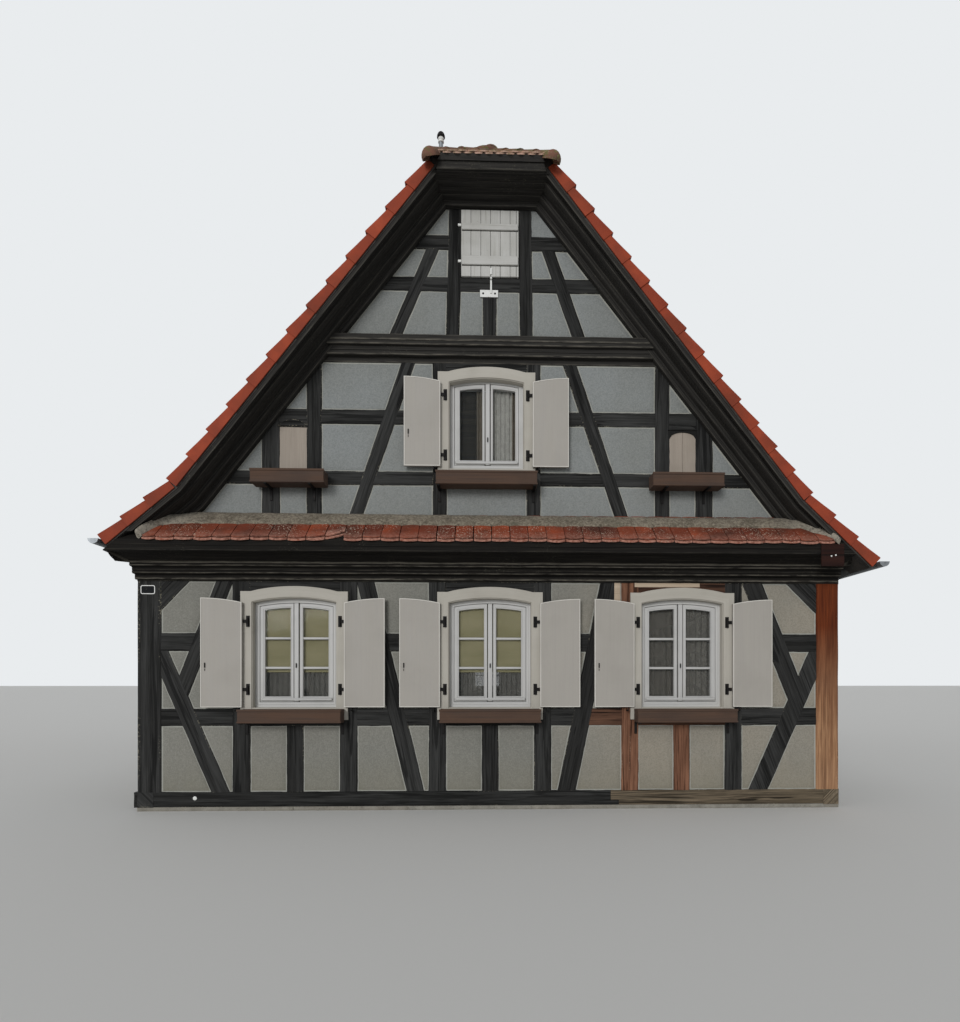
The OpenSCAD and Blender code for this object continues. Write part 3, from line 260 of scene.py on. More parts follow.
def plaster():
    """Fine roughcast: greyer and cooler upstairs, warmer near the repaired corner."""
    m = Paint("roughcast")
    grains = m.noise(190, 3)
    grit = m.noise(78, 4, rough=0.7)
    warm = m.times(m.span(m.axis("X"), 0.4, 1.6), m.span(m.axis("Y"), -5.7, -5.9))
    colour = m.mix(warm, rgb("807e76"), rgb("938b7d"))
    colour = m.over(colour, m.axis("Z"), 2.6, 3.4, 1, "868a8a")
    colour = m.over(colour, m.noise(1.1, 4), 0.35, 0.7, 0.5, "767771")
    colour = m.over(colour, grit, 0.48, 0.70, 0.42, "9c9b93")
    colour = m.over(colour, grit, 0.52, 0.34, 0.42, "66665f")
    damp = m.times(m.span(m.axis("Z"), 0.65, 0.2), m.noise(3, 4))
    colour = m.mix(m.times(damp, 0.7), colour, rgb("77725f"))
    height = m.add(m.times(grains, 0.45), m.times(grit, 0.8))
    return m.finish(colour, 0.93, height, 0.005)


def smooth_plaster():
    """The smooth pale strip around every panel."""
    m = Paint("panel_edge")
    colour = m.mix(m.noise(18, 4), rgb("85867f"), rgb("a9a89f"))
    return m.finish(colour, 0.85, m.noise(90, 3), 0.001)


def eave_wood():
    """Dark timber with its grain along the house, for the frame's own shapes."""
    m = Paint("beams_along")
    fibre = m.noise(1.0, 6, (60, 2.5, 60), rough=0.6)
    streak = m.noise(1.0, 4, (11, 0.6, 11), warp=0.7)
    colour = m.ramp(m.add(fibre, streak), 0.7, 1.3, "1d1e1e", "393a3a")
    colour = m.over(colour, streak, 0.64, 0.68, 1, "0c0c0c")
    colour = m.over(colour, m.noise(7, 4), 0.6, 0.75, 0.3, "6a665e")
    return m.finish(colour, m.span(fibre, 0.2, 0.8, 0.75, 0.95), fibre, 0.002)


def moulded_wood(name, dark, light):
    """Dark weathered paint of the mouldings, rubbed off in thin lines along their arrises."""
    m = Paint(name)
    fibre = m.fibres(7, 2.0, 60, 0.3, 0.6)
    colour = m.ramp(fibre, 0.35, 0.7, dark, light)
    colour = m.over(colour, m.fibres(4, 1.1, 30, 0.7), 0.55, 0.75, 0.5, "37342e")
    edge = m.span(m.mark("wear"), 0.55, 0.98)
    chips = m.span(m.fibres(4, 5, 30, rough=0.65), 0.36, 0.60)
    colour = m.mix(m.times(m.times(edge, chips), 0.62), colour, rgb("7d786d"))
    dots = m.span(m.noise(60, 3, rough=0.7), 0.60, 0.68)
    patches = m.span(m.noise(2.4, 3), 0.52, 0.66)
    colour = m.mix(m.times(m.times(dots, patches), 0.5), colour, rgb("6a675a"))
    return m.finish(colour, m.span(fibre, 0.2, 0.8, 0.7, 0.95), fibre, 0.003, sheen=0.12)


def tile_paint(name, tones, grime, lichen, specks, moss, worn="c08a76", rough=0.85):
    """Clay tiles: a tone for each tile, grime, lichen specks, moss and paler worn ends."""
    m = Paint(name)
    cloud = m.noise(5, 5, rough=0.6)
    colour = m.mix(m.island(), rgb(tones[0]), rgb(tones[1]))
    colour = m.over(colour, cloud, 0.35, 0.7, 0.75, tones[2])
    colour = m.over(colour, m.noise(2.2, 4), 0.48, 0.7, 0.7, grime)
    spots = m.span(m.noise(55, 4, rough=0.65), specks, specks + 0.04)
    thick = m.span(m.noise(1.6, 3), 0.42, 0.60, 0.1, 1.0)
    colour = m.mix(m.times(spots, m.times(thick, 0.9)), colour, rgb(lichen))
    if moss:
        patches = m.span(m.noise(14, 5, rough=0.7), 0.62 - 0.2 * moss, 0.68 - 0.15 * moss)
        colour = m.mix(patches, colour, rgb("5f6238"))
        tufts = m.span(m.noise(38, 4), 0.5, 0.75)
        colour = m.mix(m.times(patches, tufts), colour, rgb("8b8557"))
    ends = m.times(m.mark("wear"), m.span(m.noise(30, 3), 0.25, 0.6))
    colour = m.mix(ends, colour, rgb(worn))
    height = m.add(m.noise(120, 3), m.times(cloud, 1.4))
    return m.finish(colour, rough, height, 0.003, sheen=0.2)


def mortar_paint():
    """Gravelly mortar, dark and mottled along the wall, paler where it curls at the ends."""
    m = Paint("mortar")
    cloud = m.noise(6, 5, rough=0.6)
    grit = m.noise(34, 5, rough=0.8)
    colour = m.ramp(cloud, 0.3, 0.7, "5f5648", "8a8070")
    colour = m.over(colour, m.math("ABSOLUTE", m.axis("X"), 0), 3.1, 3.6, 0.75, "a09a8e")
    colour = m.over(colour, grit, 0.50, 0.64, 0.6, "a59c89")
    colour = m.over(colour, grit, 0.50, 0.38, 0.65, "3b342c")
    colour = m.over(colour, m.noise(3, 5), 0.58, 0.7, 0.6, "4b4a3c")
    return m.finish(colour, 0.95, m.add(cloud, grit), 0.014)


def coat(name, base, light, dirt, streaks, rough, specks=None):
    """Oil paint on planed boards, with faint streaks along the grain, dirt and specks."""
    m = Paint(name)
    streak = m.fibres(5, 1.4, 55, 0.4)
    broad = m.fibres(4, 0.9, 9, 0.5)
    colour = m.ramp(m.add(streak, broad), 0.75, 1.25, base, light)
    colour = m.over(colour, streak, 0.56, 0.72, streaks, dirt)
    colour = m.over(colour, m.noise(2.6, 4), 0.52, 0.75, 0.35, dirt)
    colour = m.over(colour, m.noise(80, 3), 0.7, 0.74, 0.5, specks or dirt)
    return m.finish(colour, m.span(broad, 0.2, 0.8, rough - 0.08, rough + 0.12), streak, 0.0006)


def metal_paint(name, base, light, rust, amount, rough, metal=0.0, sheen=0.5):
    """Metal or enamel with uneven gloss and spots of rust or dirt."""
    m = Paint(name)
    cloud = m.noise(11, 5, rough=0.6)
    colour = m.ramp(cloud, 0.3, 0.7, base, light)
    colour = m.over(colour, m.noise(34, 4), 0.66 - amount, 0.72 - amount, 0.8, rust)
    gloss = m.span(cloud, 0.3, 0.7, rough - 0.1, rough + 0.15)
    return m.finish(colour, gloss, m.noise(70, 3), 0.0006, metal, sheen)


def glass_paint():
    """Thin old glass, a little wavy, that lets most of the room show."""
    m = Paint("pane")
    waves = m.noise(3.0, 2)
    m.finish(m.mix(waves, rgb("15191b"), rgb("262c2f")), 0.04, waves, 0.002, sheen=0.2)
    m.shader.inputs["Alpha"].default_value = 0.15
    return m.data


def blind_paint():
    """Woven yellowish blinds, darker in soft bands."""
    m = Paint("blind_cloth")
    weave = m.noise(1.0, 2, (300, 300, 40))
    colour = m.ramp(m.noise(2.0, 4, (1.0, 1.0, 3.5)), 0.3, 0.7, "9c9670", "b0a985")
    colour = m.over(colour, weave, 0.3, 0.7, 0.25, "918b66")
    return m.finish(colour, 0.95, weave, 0.0005)


def curtain_paint():
    """Net curtains: the dense parts hide the dark room, the thin ones let it show."""
    m = Paint("net_curtain")
    lace = m.span(m.noise(24, 4, (1, 1, 0.6), rough=0.6), 0.45, 0.58)
    threads = m.noise(1.0, 2, (260, 260, 30))
    colour = m.mix(threads, rgb("b9b8b0"), rgb("d6d5cd"))
    colour = m.mix(m.mark("tint"), colour, rgb("6f6350"))
    m.finish(colour, 0.95, threads, 0.0005)
    m.put(m.shader.inputs["Alpha"], m.times(m.span(lace, 0, 1, 0.85, 1.0), m.mark("wear")))
    return m.data


def stone_paint():
    """Weathered sandstone, each stone in its own tone, with dark pits."""
    m = Paint("footing_stone")
    cloud = m.noise(7, 6, rough=0.65)
    colour = m.ramp(cloud, 0.3, 0.7, "6f6c64", "96938a")
    colour = m.mix(m.times(m.island(), 0.5), colour, rgb("7f776a"))
    colour = m.over(colour, m.noise(60, 4), 0.62, 0.7, 0.6, "504e48")
    return m.finish(colour, 0.93, m.add(cloud, m.noise(70, 4)), 0.006)


def soil_paint():
    """Dark crumbly soil."""
    m = Paint("soil")
    crumbs = m.noise(60, 5, rough=0.7)
    return m.finish(m.ramp(crumbs, 0.3, 0.7, "2a211a", "4d4033"), 0.98, crumbs, 0.01)


def planks(name, dark, light):
    """Floor boards and roof boards inside the house, across its length."""
    m = Paint(name)
    fibre = m.noise(1.0, 5, (4, 60, 60), rough=0.6)
    bands = m.noise(1.0, 1, (0.4, 7, 7))
    return m.finish(m.ramp(m.add(fibre, bands), 0.75, 1.25, dark, light), 0.8, fibre, 0.002)


class Piece:
    """Collects the faces of one piece, with grain coordinates at their corners."""

    def __init__(self):
        self.points = []
        self.worn = []
        self.faces = []
        self.grain = []
        self.slots = []

    def add(self, points, worn=0.0):
        start = len(self.points)
        self.points += [tuple(p) for p in points]
        self.worn += worn if isinstance(worn, list) else [worn] * len(points)
        return start

    def face(self, corners, grain=None, slot=0):
        self.faces.append(corners)
        self.grain += grain or [(0.0, 0.0)] * len(corners)
        self.slots.append(slot)

    def make(self, name, materials, slot, replaced=(), body="house"):
        """Makes the object, which rides on its body and stands for the replaced nodes."""
        mesh = bpy.data.meshes.new(name)
        mesh.from_pydata(self.points, [], self.faces)
        layer = mesh.uv_layers.new(name="grain")
        layer.data.foreach_set("uv", [x for pair in self.grain for x in pair])
        attribute = mesh.attributes.new("wear", "FLOAT", "POINT")
        attribute.data.foreach_set("value", self.worn)
        mesh.polygons.foreach_set("material_index", self.slots)
        for material in materials:
            mesh.materials.append(material)
        work = bmesh.new()
        work.from_mesh(mesh)
        bmesh.ops.recalc_face_normals(work, faces=work.faces)
        work.to_mesh(mesh)
        work.free()
        mesh.shade_smooth()
        mesh.set_sharp_from_angle(angle=SHARP)
        piece = bpy.data.objects.new(name, mesh)
        bpy.context.scene.collection.objects.link(piece)
        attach(piece, body)
        if replaced:
            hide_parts(*replaced)


WALLS = {
    "front": (Vector((0, -1, 0)), HALF_L),
    "rear": (Vector((0, 1, 0)), HALF_L),
    "left": (Vector((-1, 0, 0)), HALF_W),
    "right": (Vector((1, 0, 0)), HALF_W),
}


def clean(name):
    """A CAD node's mesh with whole flat faces."""
    work = bmesh.new()
    work.from_mesh(nodes[name].data)
    bmesh.ops.remove_doubles(work, verts=work.verts, dist=2e-5)
    bmesh.ops.dissolve_limit(work, angle_limit=0.004, verts=work.verts, edges=work.edges)
    return work


def wall_frame(wall):
    """Direction out of a wall, direction along it, and how far out its plane is."""
    facing, reach = WALLS[wall]
    return facing, UP.cross(facing), reach


def outlines(name, wall):
    """Outlines, in the wall's plane, of a node's faces that look out of that wall."""
    depth = 0.1
    facing, across, reach = wall_frame(wall)
    work = clean(name)
    found = []
    for face in work.faces:
        centre = face.calc_center_median().dot(facing)
        if face.normal.dot(facing) > 0.99 and centre > reach - depth:
            found += parted([Vector((v.co.dot(across), v.co.z)) for v in face.verts])
    work.free()
    return found


def parted(outline):
    """The separate loops of an outline that touches itself."""
    near, smallest = 3e-4, 1e-4
    size = len(outline)
    for i, point in enumerate(outline):
        for j, start in enumerate(outline):
            k = (j + 1) % size
            if i in (j, k):
                continue
            edge = outline[k] - start
            share = (point - start).dot(edge) / edge.length_squared
            if -1e-6 <= share < 1 and (start + edge * share - point).length < near:
                inner = [outline[(i + n) % size] for n in range((j - i) % size + 1)]
                outer = [point] + [outline[(k + n) % size] for n in range((i - k) % size)]
                if (outline[j] - point).length < near:
                    inner.pop()
                return parted(inner) + parted(outer)
    pairs = zip(outline, outline[1:] + outline[:1])
    area = sum(a.x * b.y - b.x * a.y for a, b in pairs) / 2
    return [outline] if size > 2 and area > smallest else []


def longest(outline):
    """Direction of an outline's longest edge."""
    pairs = zip(outline, outline[1:] + outline[:1])
    return max((b - a for a, b in pairs), key=lambda edge: edge.length).normalized()


def bands(starts, size):
    """Faces between neighbouring rings of points: ring, place, next place and corners."""
    for k in range(len(starts) - 1):
        for i in range(size):
            j = (i + 1) % size
            yield k, i, j, [starts[k] + i, starts[k] + j, starts[k + 1] + j, starts[k + 1] + i]


def outward(outline, sharpest=0.45):
    """Direction out of a counter-clockwise outline at each point, longer at corners."""
    found = []
    for i, point in enumerate(outline):
        before = (point - outline[i - 1]).normalized()
        after = (outline[(i + 1) % len(outline)] - point).normalized()
        total = Vector((before.y + after.y, -before.x - after.x))
        if total.length < 1e-6:
            total = Vector((before.y, -before.x))
        total.normalize()
        lean = max(sharpest, total.dot(Vector((before.y, -before.x))))
        found.append(total / lean)
    return found


def divided(outline, step):
    """The outline with extra points, at most step apart."""
    found = []
    for a, b in zip(outline, outline[1:] + outline[:1]):
        parts = max(1, math.ceil((b - a).length / step))
        found += [a.lerp(b, i / parts) for i in range(parts)]
    return found


def tidy(outline):
    """The outline without points that crowd or lie on a straight edge."""
    near, straight = 0.006, 0.01
    spaced = [p for i, p in enumerate(outline) if (p - outline[i - 1]).length > near]
    found = []
    for i, point in enumerate(spaced):
        before = (point - spaced[i - 1]).normalized()
        after = (spaced[(i + 1) % len(spaced)] - point).normalized()
        if abs(before.x * after.y - before.y * after.x) > straight:
            found.append(point)
    return found


def crossed(ring):
    """Whether two edges of a ring cross."""

    def turn(a, b, c):
        return (b.x - a.x) * (c.y - a.y) - (b.y - a.y) * (c.x - a.x)

    edges = list(zip(ring, ring[1:] + ring[:1]))
    for i, (a, b) in enumerate(edges):
        for c, d in edges[i + 2:len(edges) - (i == 0)]:
            if turn(a, b, c) * turn(a, b, d) < 0 and turn(c, d, a) * turn(c, d, b) < 0:
                return True
    return False


def inset_ring(line, out, inset, least):
    """The outline moved in, by less where an edge would turn over or cross another."""
    while inset > least:
        ring = [p - o * inset for p, o in zip(line, out)]
        pairs = zip(line, line[1:] + line[:1], ring, ring[1:] + ring[:1])
        if all((b - a).dot(d - c) > 0 for a, b, c, d in pairs) and not crossed(ring):
            return ring, inset
        inset *= 0.7
    return [p - o * least for p, o in zip(line, out)], least


def slab(piece, outline, wall, rings, back, grain=None, wave=0.0, step=0.06):
    """A flat member of a wall: an uneven outline, then rings that step towards its face.

    A ring is (inset, how far it stands out from the wall's plane, wear, material)."""
    facing, across, reach = wall_frame(wall)
    outline = tidy(outline)
    along = grain or longest(outline)
    offset = rng.uniform(0, 50)
    line = divided(outline, step) if step else list(outline)
    if wave:
        pushed = []
        for point, out in zip(line, outward(line)):
            amount = noise.noise(Vector((point.x * 3.1, point.y * 3.1, offset)))
            amount += 0.9 * noise.noise(Vector((point.x * 13, point.y * 13, offset)))
            pushed.append(point + out * wave * (0.6 + 0.8 * amount))
        line = pushed
    out = outward(line, 0.45 if step else 0.12)
    size = len(line)
    starts = []
    flat = []
    reached = 0.0
    for inset, height, worn, _ in [(0, back, 0, 0)] + rings:
        ring, reached = inset_ring(line, out, inset, reached)
        flat.append(ring)
        points = [across * p.x + UP * p.y + facing * (reach + height) for p in ring]
        starts.append(piece.add(points, worn))

    def spot(k, i, deep=0.0):
        p = flat[k][i]
        return (p.dot(along) + offset, along.x * p.y - along.y * p.x + deep + offset)

    for k, i, j, corners in bands(starts, size):
        deep = rings[0][1] - back if k == 0 else 0
        marks = [spot(k, i, deep), spot(k, j, deep), spot(k + 1, j), spot(k + 1, i)]
        piece.face(corners, marks, rings[k][3])
    back_marks = [spot(0, i) for i in range(size)][::-1]
    face_marks = [spot(len(rings), i) for i in range(size)]
    piece.face([starts[0] + i for i in range(size)][::-1], back_marks, rings[0][3])
    piece.face([starts[-1] + i for i in range(size)], face_marks, rings[-1][3])


def timbers(name, material, slot, grain=None):
    """Every flat timber of a node, in all four walls, with uneven worn edges."""
    piece = Piece()
    for wall in WALLS:
        for outline in outlines(name, wall):
            proud = rng.uniform(0, 0.0025)
            rings = [(inset, proud + out, worn, 0) for inset, out, worn, _ in TIMBER_RINGS]
            slab(piece, outline, wall, rings, -WALL_T, grain, wave=0.006)
    piece.make(name + "_hewn", [material], slot, [name])


def filler():
    """Pale filler between the right window's lintel and the beam, and beside its stud."""
    piece = Piece()
    rings = [(0, 0.001, 0, 0), (0.004, 0.0035, 0, 0)]
    for x0, x1, z0, z1 in ((1.62, 2.372, 2.545, 2.589), (1.384, 1.452, 2.30, 2.589)):
        outline = [Vector(p) for p in ((x0, z0), (x1, z0), (x1, z1), (x0, z1))]
        slab(piece, outline, "front", rings, -0.02, LEVEL, wave=0.004)
    piece.make("lintel_filler", [CREAM], "ground_plaster")


def panels(name, slot):
    """Plastered panels: a smooth edge strip, then roughcast that swells a little."""
    piece = Piece()
    base = -PANEL_INSET
    rings = [(0, base, 0, 1), (0.016, base, 0, 1), (0.020, base + 0.003, 0, 0), (0.07, base + 0.0055, 0, 0)]
    for wall in WALLS:
        for outline in outlines(name, wall):
            slab(piece, outline, wall, rings, -WALL_T, step=0)
    piece.make(name + "_roughcast", [ROUGHCAST, PANEL_EDGE], slot, [name])


def swept(piece, rings, worn=0.0, looped=False, turned=False, slot=0):
    """Skins a row of closed rings; the grain runs from ring to ring, or around them."""
    size = len(rings[0])
    starts = [piece.add(ring, worn) for ring in rings]
    around = [0.0]
    for i in range(size):
        around.append(around[-1] + (rings[0][(i + 1) % size] - rings[0][i]).length)
    along = [rng.uniform(0, 30)]
    for a, b in zip(rings, rings[1:] + rings[:1]):
        along.append(along[-1] + (b[0] - a[0]).length)
    for k, i, _, corners in bands(starts + starts[:1] if looped else starts, size):
        marks = [(along[k], around[i]), (along[k], around[i + 1]),
                 (along[k + 1], around[i + 1]), (along[k + 1], around[i])]
        if turned:
            marks = [(v, u) for u, v in marks]
        piece.face(corners, marks, slot)
    if not looped:
        piece.face([starts[0] + i for i in range(size)][::-1], None, slot)
        piece.face([starts[-1] + i for i in range(size)], None, slot)


def block(piece, low, high, bevel, matrix=None, slot=0):
    """A box with chamfered edges; the grain runs along its longest side."""
    matrix = matrix or Matrix()
    low, high = Vector(low), Vector(high)
    sides = high - low
    bevel = min(bevel, 0.4 * min(sides))
    long_axis = max(range(3), key=lambda a: sides[a])
    shift = rng.uniform(0, 30)
    spots = {}
    flat = {}
    for corner in itertools.product((0, 1), repeat=3):
        for axis in range(3):
            p = Vector([(low[a], high[a])[corner[a]] for a in range(3)])
            for a in range(3):
                if a != axis:
                    p[a] += (bevel, -bevel)[corner[a]]
            spots[corner, axis] = piece.add([matrix @ p])
            across = sum(p[a] for a in range(3) if a != long_axis)
            flat[spots[corner, axis]] = (p[long_axis] + shift, across)

    def put(corners):
        piece.face(corners, [flat[c] for c in corners], slot)

    for axis in range(3):
        b, c = (axis + 1) % 3, (axis + 2) % 3
        for end in (0, 1):
            ring = []
            for u, v in ((0, 0), (1, 0), (1, 1), (0, 1)):
                corner = [0, 0, 0]
                corner[axis], corner[b], corner[c] = end, u, v
                ring.append(spots[tuple(corner), axis])
            put(ring)
        for u, v in itertools.product((0, 1), repeat=2):
            ends = []
            for end in (0, 1):
                corner = [0, 0, 0]
                corner[axis], corner[b], corner[c] = end, u, v
                ends.append(tuple(corner))
            put([spots[ends[0], b], spots[ends[0], c], spots[ends[1], c], spots[ends[1], b]])
    for corner in itertools.product((0, 1), repeat=3):
        put([spots[corner, 0], spots[corner, 1], spots[corner, 2]])


def lathe(piece, profile, matrix, parts, slot=0, looped=False):
    """A body of revolution about its own z axis, from (radius, height) pairs."""
    angles = [math.tau * i / parts for i in range(parts)]
    rings = []
    for radius, height in profile:
        ring = [Vector((radius * math.cos(a), radius * math.sin(a), height)) for a in angles]
        rings.append([matrix @ p for p in ring])
    swept(piece, rings, looped=looped, slot=slot)


def blend(a, b, parts):
    """Rings between two rings, without the last one."""
    return [[p.lerp(q, i / parts) for p, q in zip(a, b)] for i in range(parts)]


def shaken(ring, amount, scale):
    """The ring with every point moved a little, by a smooth noise in space."""
    return [p + noise.noise_vector(p * scale) * amount for p in ring]


def uneven(rings, amount, scale):
    """The rings, all but the first and the last moved a little."""
    return [rings[0]] + [shaken(ring, amount, scale) for ring in rings[1:-1]] + [rings[-1]]


def knee_at(side, depth):
    """Distance from the ridge line and height of a slope's bend, at a depth under its face."""
    lean = 1 / math.cos(PITCH) - 1 / math.cos(FLARE[side])
    out = KNEE[side] - depth * lean / (math.tan(PITCH) - math.tan(FLARE[side]))
    return out, RIDGE_Z - depth / math.cos(PITCH) - math.tan(PITCH) * out


def roof_x(side, depth, z):
    """Where a slope is at level z, at a depth under its face."""
    out, bend = knee_at(side, depth)
    if z >= bend:
        out = (RIDGE_Z - depth / math.cos(PITCH) - z) / math.tan(PITCH)
    else:
        out += (bend - z) / math.tan(FLARE[side])
    return RIDGE_X + side * out


def roof_z(side, depth, x):
    """Height of a slope at x, at a depth under its face."""
    away = (x - RIDGE_X) * side
    out, bend = knee_at(side, depth)
    if away <= out:
        return RIDGE_Z - depth / math.cos(PITCH) - math.tan(PITCH) * away
    return bend - math.tan(FLARE[side]) * (away - out)


def hip_z(out, depth):
    """Height of the half-hip above a place that far in front of the gable."""
    return HIP_Z + math.tan(HIP_PITCH) * (HIP_OVER - out) - depth / math.cos(HIP_PITCH)


def pent_z(out):
    """Height of the pent roof's tiles above a place that far in front of the gable."""
    return PENT_Z + math.tan(PENT_PITCH) * (VERGE - out)


# The moulding along the rakes: how far out, depth under the tiles, height over the level
# mouldings of the half-hip, and wear
RAKE_PROFILE = [
    (-0.178, 0.275, 0.000, 0.0), (0.053, 0.275, 0.000, 0.5), (0.060, 0.269, 0.006, 1.0),
    (0.060, 0.240, 0.034, 0.0), (0.052, 0.236, 0.038, 0.0), (0.060, 0.232, 0.042, 0.7),
    (0.060, 0.215, 0.058, 0.0), (0.131, 0.215, 0.060, 0.4), (0.140, 0.208, 0.064, 1.0),
    (0.140, 0.192, 0.070, 0.0), (0.132, 0.188, 0.073, 0.0), (0.140, 0.184, 0.076, 0.7),
    (0.140, 0.166, 0.084, 0.0), (0.210, 0.165, 0.085, 0.0), (0.214, 0.159, 0.088, 0.0),
    (0.218, 0.165, 0.085, 0.4), (0.292, 0.165, 0.085, 0.3), (0.300, 0.159, 0.090, 1.0),
    (0.300, 0.128, 0.098, 0.0), (0.360, 0.126, 0.100, 0.0), (0.364, 0.120, 0.104, 0.0),
    (0.368, 0.126, 0.100, 0.3), (0.413, 0.126, 0.100, 0.0), (0.415, 0.150, 0.108, 0.3),
    (0.439, 0.150, 0.108, 0.8), (0.445, 0.144, 0.113, 1.0), (0.445, 0.111, None, 0.0),
    (-0.178, 0.111, None, 0.0),
]


def drawn_in(out):
    """How far out the sloped boards stand, so that they end behind the verge tiles."""
    start, reach, end = 0.36, RAKE_PROFILE[-2][0], VERGE_FRONT - 0.005
    return out if out < start else start + (out - start) * (end - start) / (reach - start)


def rake_point(side, facing, spot, where):
    """A point of the rake moulding: at its foot, its bend or its mitre below the half-hip."""
    out, depth, lift, _ = spot
    if where != "mitre":
        out = drawn_in(out)
    if where == "bend":
        away, z = knee_at(side, depth)
        x = RIDGE_X + side * away
    elif where == "mitre":
        z = hip_z(out, HIP_T + 0.002) if lift is None else HIP_CORNICE_Z + lift
        x = roof_x(side, depth, z)
    else:
        z = pent_z(max(out, 0.0)) + MORTAR_H if facing < 0 else HEAD_TOP
        x = roof_x(side, depth, z)
        if abs(x) > HALF_W:
            x = side * HALF_W
            z = roof_z(side, depth, x)
    return Vector((x, facing * (HALF_L + out), z))


def rakes():
    """Moulded boards up both slopes of both gables, and level ones under the half-hips."""
    sloped, level = Piece(), Piece()
    worn = [0.74 * spot[3] for spot in RAKE_PROFILE]
    for facing in (-1, 1):
        mitres = []
        for side in (-1, 1):
            foot, bend, mitre = ([rake_point(side, facing, spot, where) for spot in RAKE_PROFILE]
                                 for where in ("foot", "bend", "mitre"))
            top = [Vector((p.x, facing * (HALF_L + drawn_in(spot[0])), p.z))
                   for p, spot in zip(mitre, RAKE_PROFILE)]
            swept(sloped, uneven(blend(foot, bend, 4) + blend(bend, top, 26) + [top], 0.003, 2.3), worn)
            seam = Vector((-side * 0.001, 0, 0))
            mitres.append([p + seam for p in mitre])
        swept(level, uneven(blend(mitres[0], mitres[1], 10) + [mitres[1]], 0.003, 2.3), worn)
    sloped.make("raking_cornices_moulded", [MOULDED], "old_timber", ["raking_cornices"])
    level.make("half_hip_cornices_moulded", [MOULDED], "old_timber", ["half_hip_cornices"])


# The moulding of the front cornice: how far out, height, and wear
CORNICE_PROFILE = [
    (0.000, 2.600, 0.0), (0.044, 2.600, 0.6), (0.050, 2.606, 1.0), (0.050, 2.655, 0.0),
    (0.100, 2.659, 0.5), (0.110, 2.667, 1.0), (0.110, 2.686, 0.0), (0.103, 2.691, 0.0),
    (0.110, 2.697, 0.7), (0.110, 2.724, 0.2), (0.155, 2.733, 0.6), (0.165, 2.741, 1.0),
    (0.165, 2.756, 0.1), (0.158, 2.761, 0.1), (0.165, 2.766, 1.0), (0.163, 2.782, 0.9),
    (0.190, 2.796, 0.2), (0.225, 2.808, 0.1), (0.270, 2.828, 0.0), (0.296, 2.848, 0.4),
    (0.392, 2.854, 0.2), (0.400, 2.862, 0.68), (0.400, 2.905, 0.0), (0.395, 2.909, 0.0),
    (0.400, 2.913, 0.3), (0.400, 2.977, 0.5), (0.000, 3.302, 0.0),
]


def front_cornice():
    """The moulded cornice under the pent roof, cut under the eaves at both ends."""
    piece = Piece()
    worn = [spot[2] for spot in CORNICE_PROFILE]

    def ring(x):
        points = []
        for out, z, _ in CORNICE_PROFILE:
            low, high = -HALF_W, HALF_W - 0.035
            if z > 2.78:
                low, high = -HALF_W - 0.154, HALF_W + 0.1
            left = max(low, roof_x(-1, ROOF_BACK, z))
            right = min(high, roof_x(1, ROOF_BACK, z))
            points.append(Vector((min(max(x, left), right), -HALF_L - out, z)))
        return points

    count, inner, beyond = 44, 3.4, 9
    stops = [-inner + 2 * inner * i / count for i in range(count + 1)]
    rings = [ring(x) for x in [-beyond, *stops, beyond]]
    swept(piece, uneven(rings, 0.004, 3.1), worn)
    # Its material is the dark moulding paint with painted shade of the overhang added.
    piece.make("front_cornice_moulded", [CORNICE_PAINT_AND_SHADE], "old_timber", ["front_cornice"])


def cornice_end_board():
    """The new red-brown board at the cornice's right end, with two white screws."""
    piece = Piece()
    front = -HALF_L - 0.416
    block(piece, (3.58, front, 2.722), (3.835, front + 0.015, 2.966), 0.004)
    for x, z in ((3.690, 2.832), (3.738, 2.842)):
        screw = [(0.009, 0), (0.009, 0.003), (0.004, 0.005)]
        lathe(piece, screw, Matrix.Translation((x, front, z)) @ OUTWARDS, 10, 1)
    piece.make("cornice_end_board", [RED_WOOD, WHITE], "new_timber")


# The moulding of the beams between the attic storeys: how far out, height over the beam's
# foot, and wear
BEAM_PROFILE = [
    (-0.178, 0.000, 0.0), (-0.004, 0.000, 0.6), (0.000, 0.004, 0.8), (0.000, 0.060, 0.0),
    (0.052, 0.060, 0.4), (0.060, 0.067, 1.0), (0.060, 0.105, 0.0), (0.052, 0.110, 0.0),
    (0.060, 0.115, 0.6), (0.060, 0.158, 0.0), (0.092, 0.160, 0.5), (0.100, 0.168, 1.0),
    (0.100, 0.200, 0.0), (0.092, 0.206, 0.0), (0.100, 0.212, 1.0), (0.100, 0.262, 0.1),
    (0.092, 0.278, 1.0), (0.062, 0.288, 0.5), (0.054, 0.299, 0.4), (-0.178, 0.299, 0.0),
]


def gable_beams():
    """The moulded beams between the attic storeys, and the beams over the ground floor."""
    piece = Piece()
    worn = [spot[2] for spot in BEAM_PROFILE]

    def end(side, facing):
        points = []
        for out, up, _ in BEAM_PROFILE:
            depth = 0.276 if out < 0.061 else 0.217
            x = roof_x(side, depth, MID_Z + up)
            points.append(Vector((x, facing * (HALF_L + out), MID_Z + up)))
        return points

    for facing in (-1, 1):
        left, right = end(-1, facing), end(1, facing)
        swept(piece, uneven(blend(left, right, 26) + [right], 0.004, 2.7), worn)
    corners = [(-HALF_W, HEAD_Z), (HALF_W, HEAD_Z), (HALF_W, HEAD_TOP), (-HALF_W, HEAD_TOP)]
    for wall in ("front", "rear"):
        slab(piece, [Vector(c) for c in corners], wall, TIMBER_RINGS, -WALL_T, LEVEL, wave=0.003)
    piece.make("gable_beams_moulded", [MOULDED], "old_timber", ["gable_beams"])


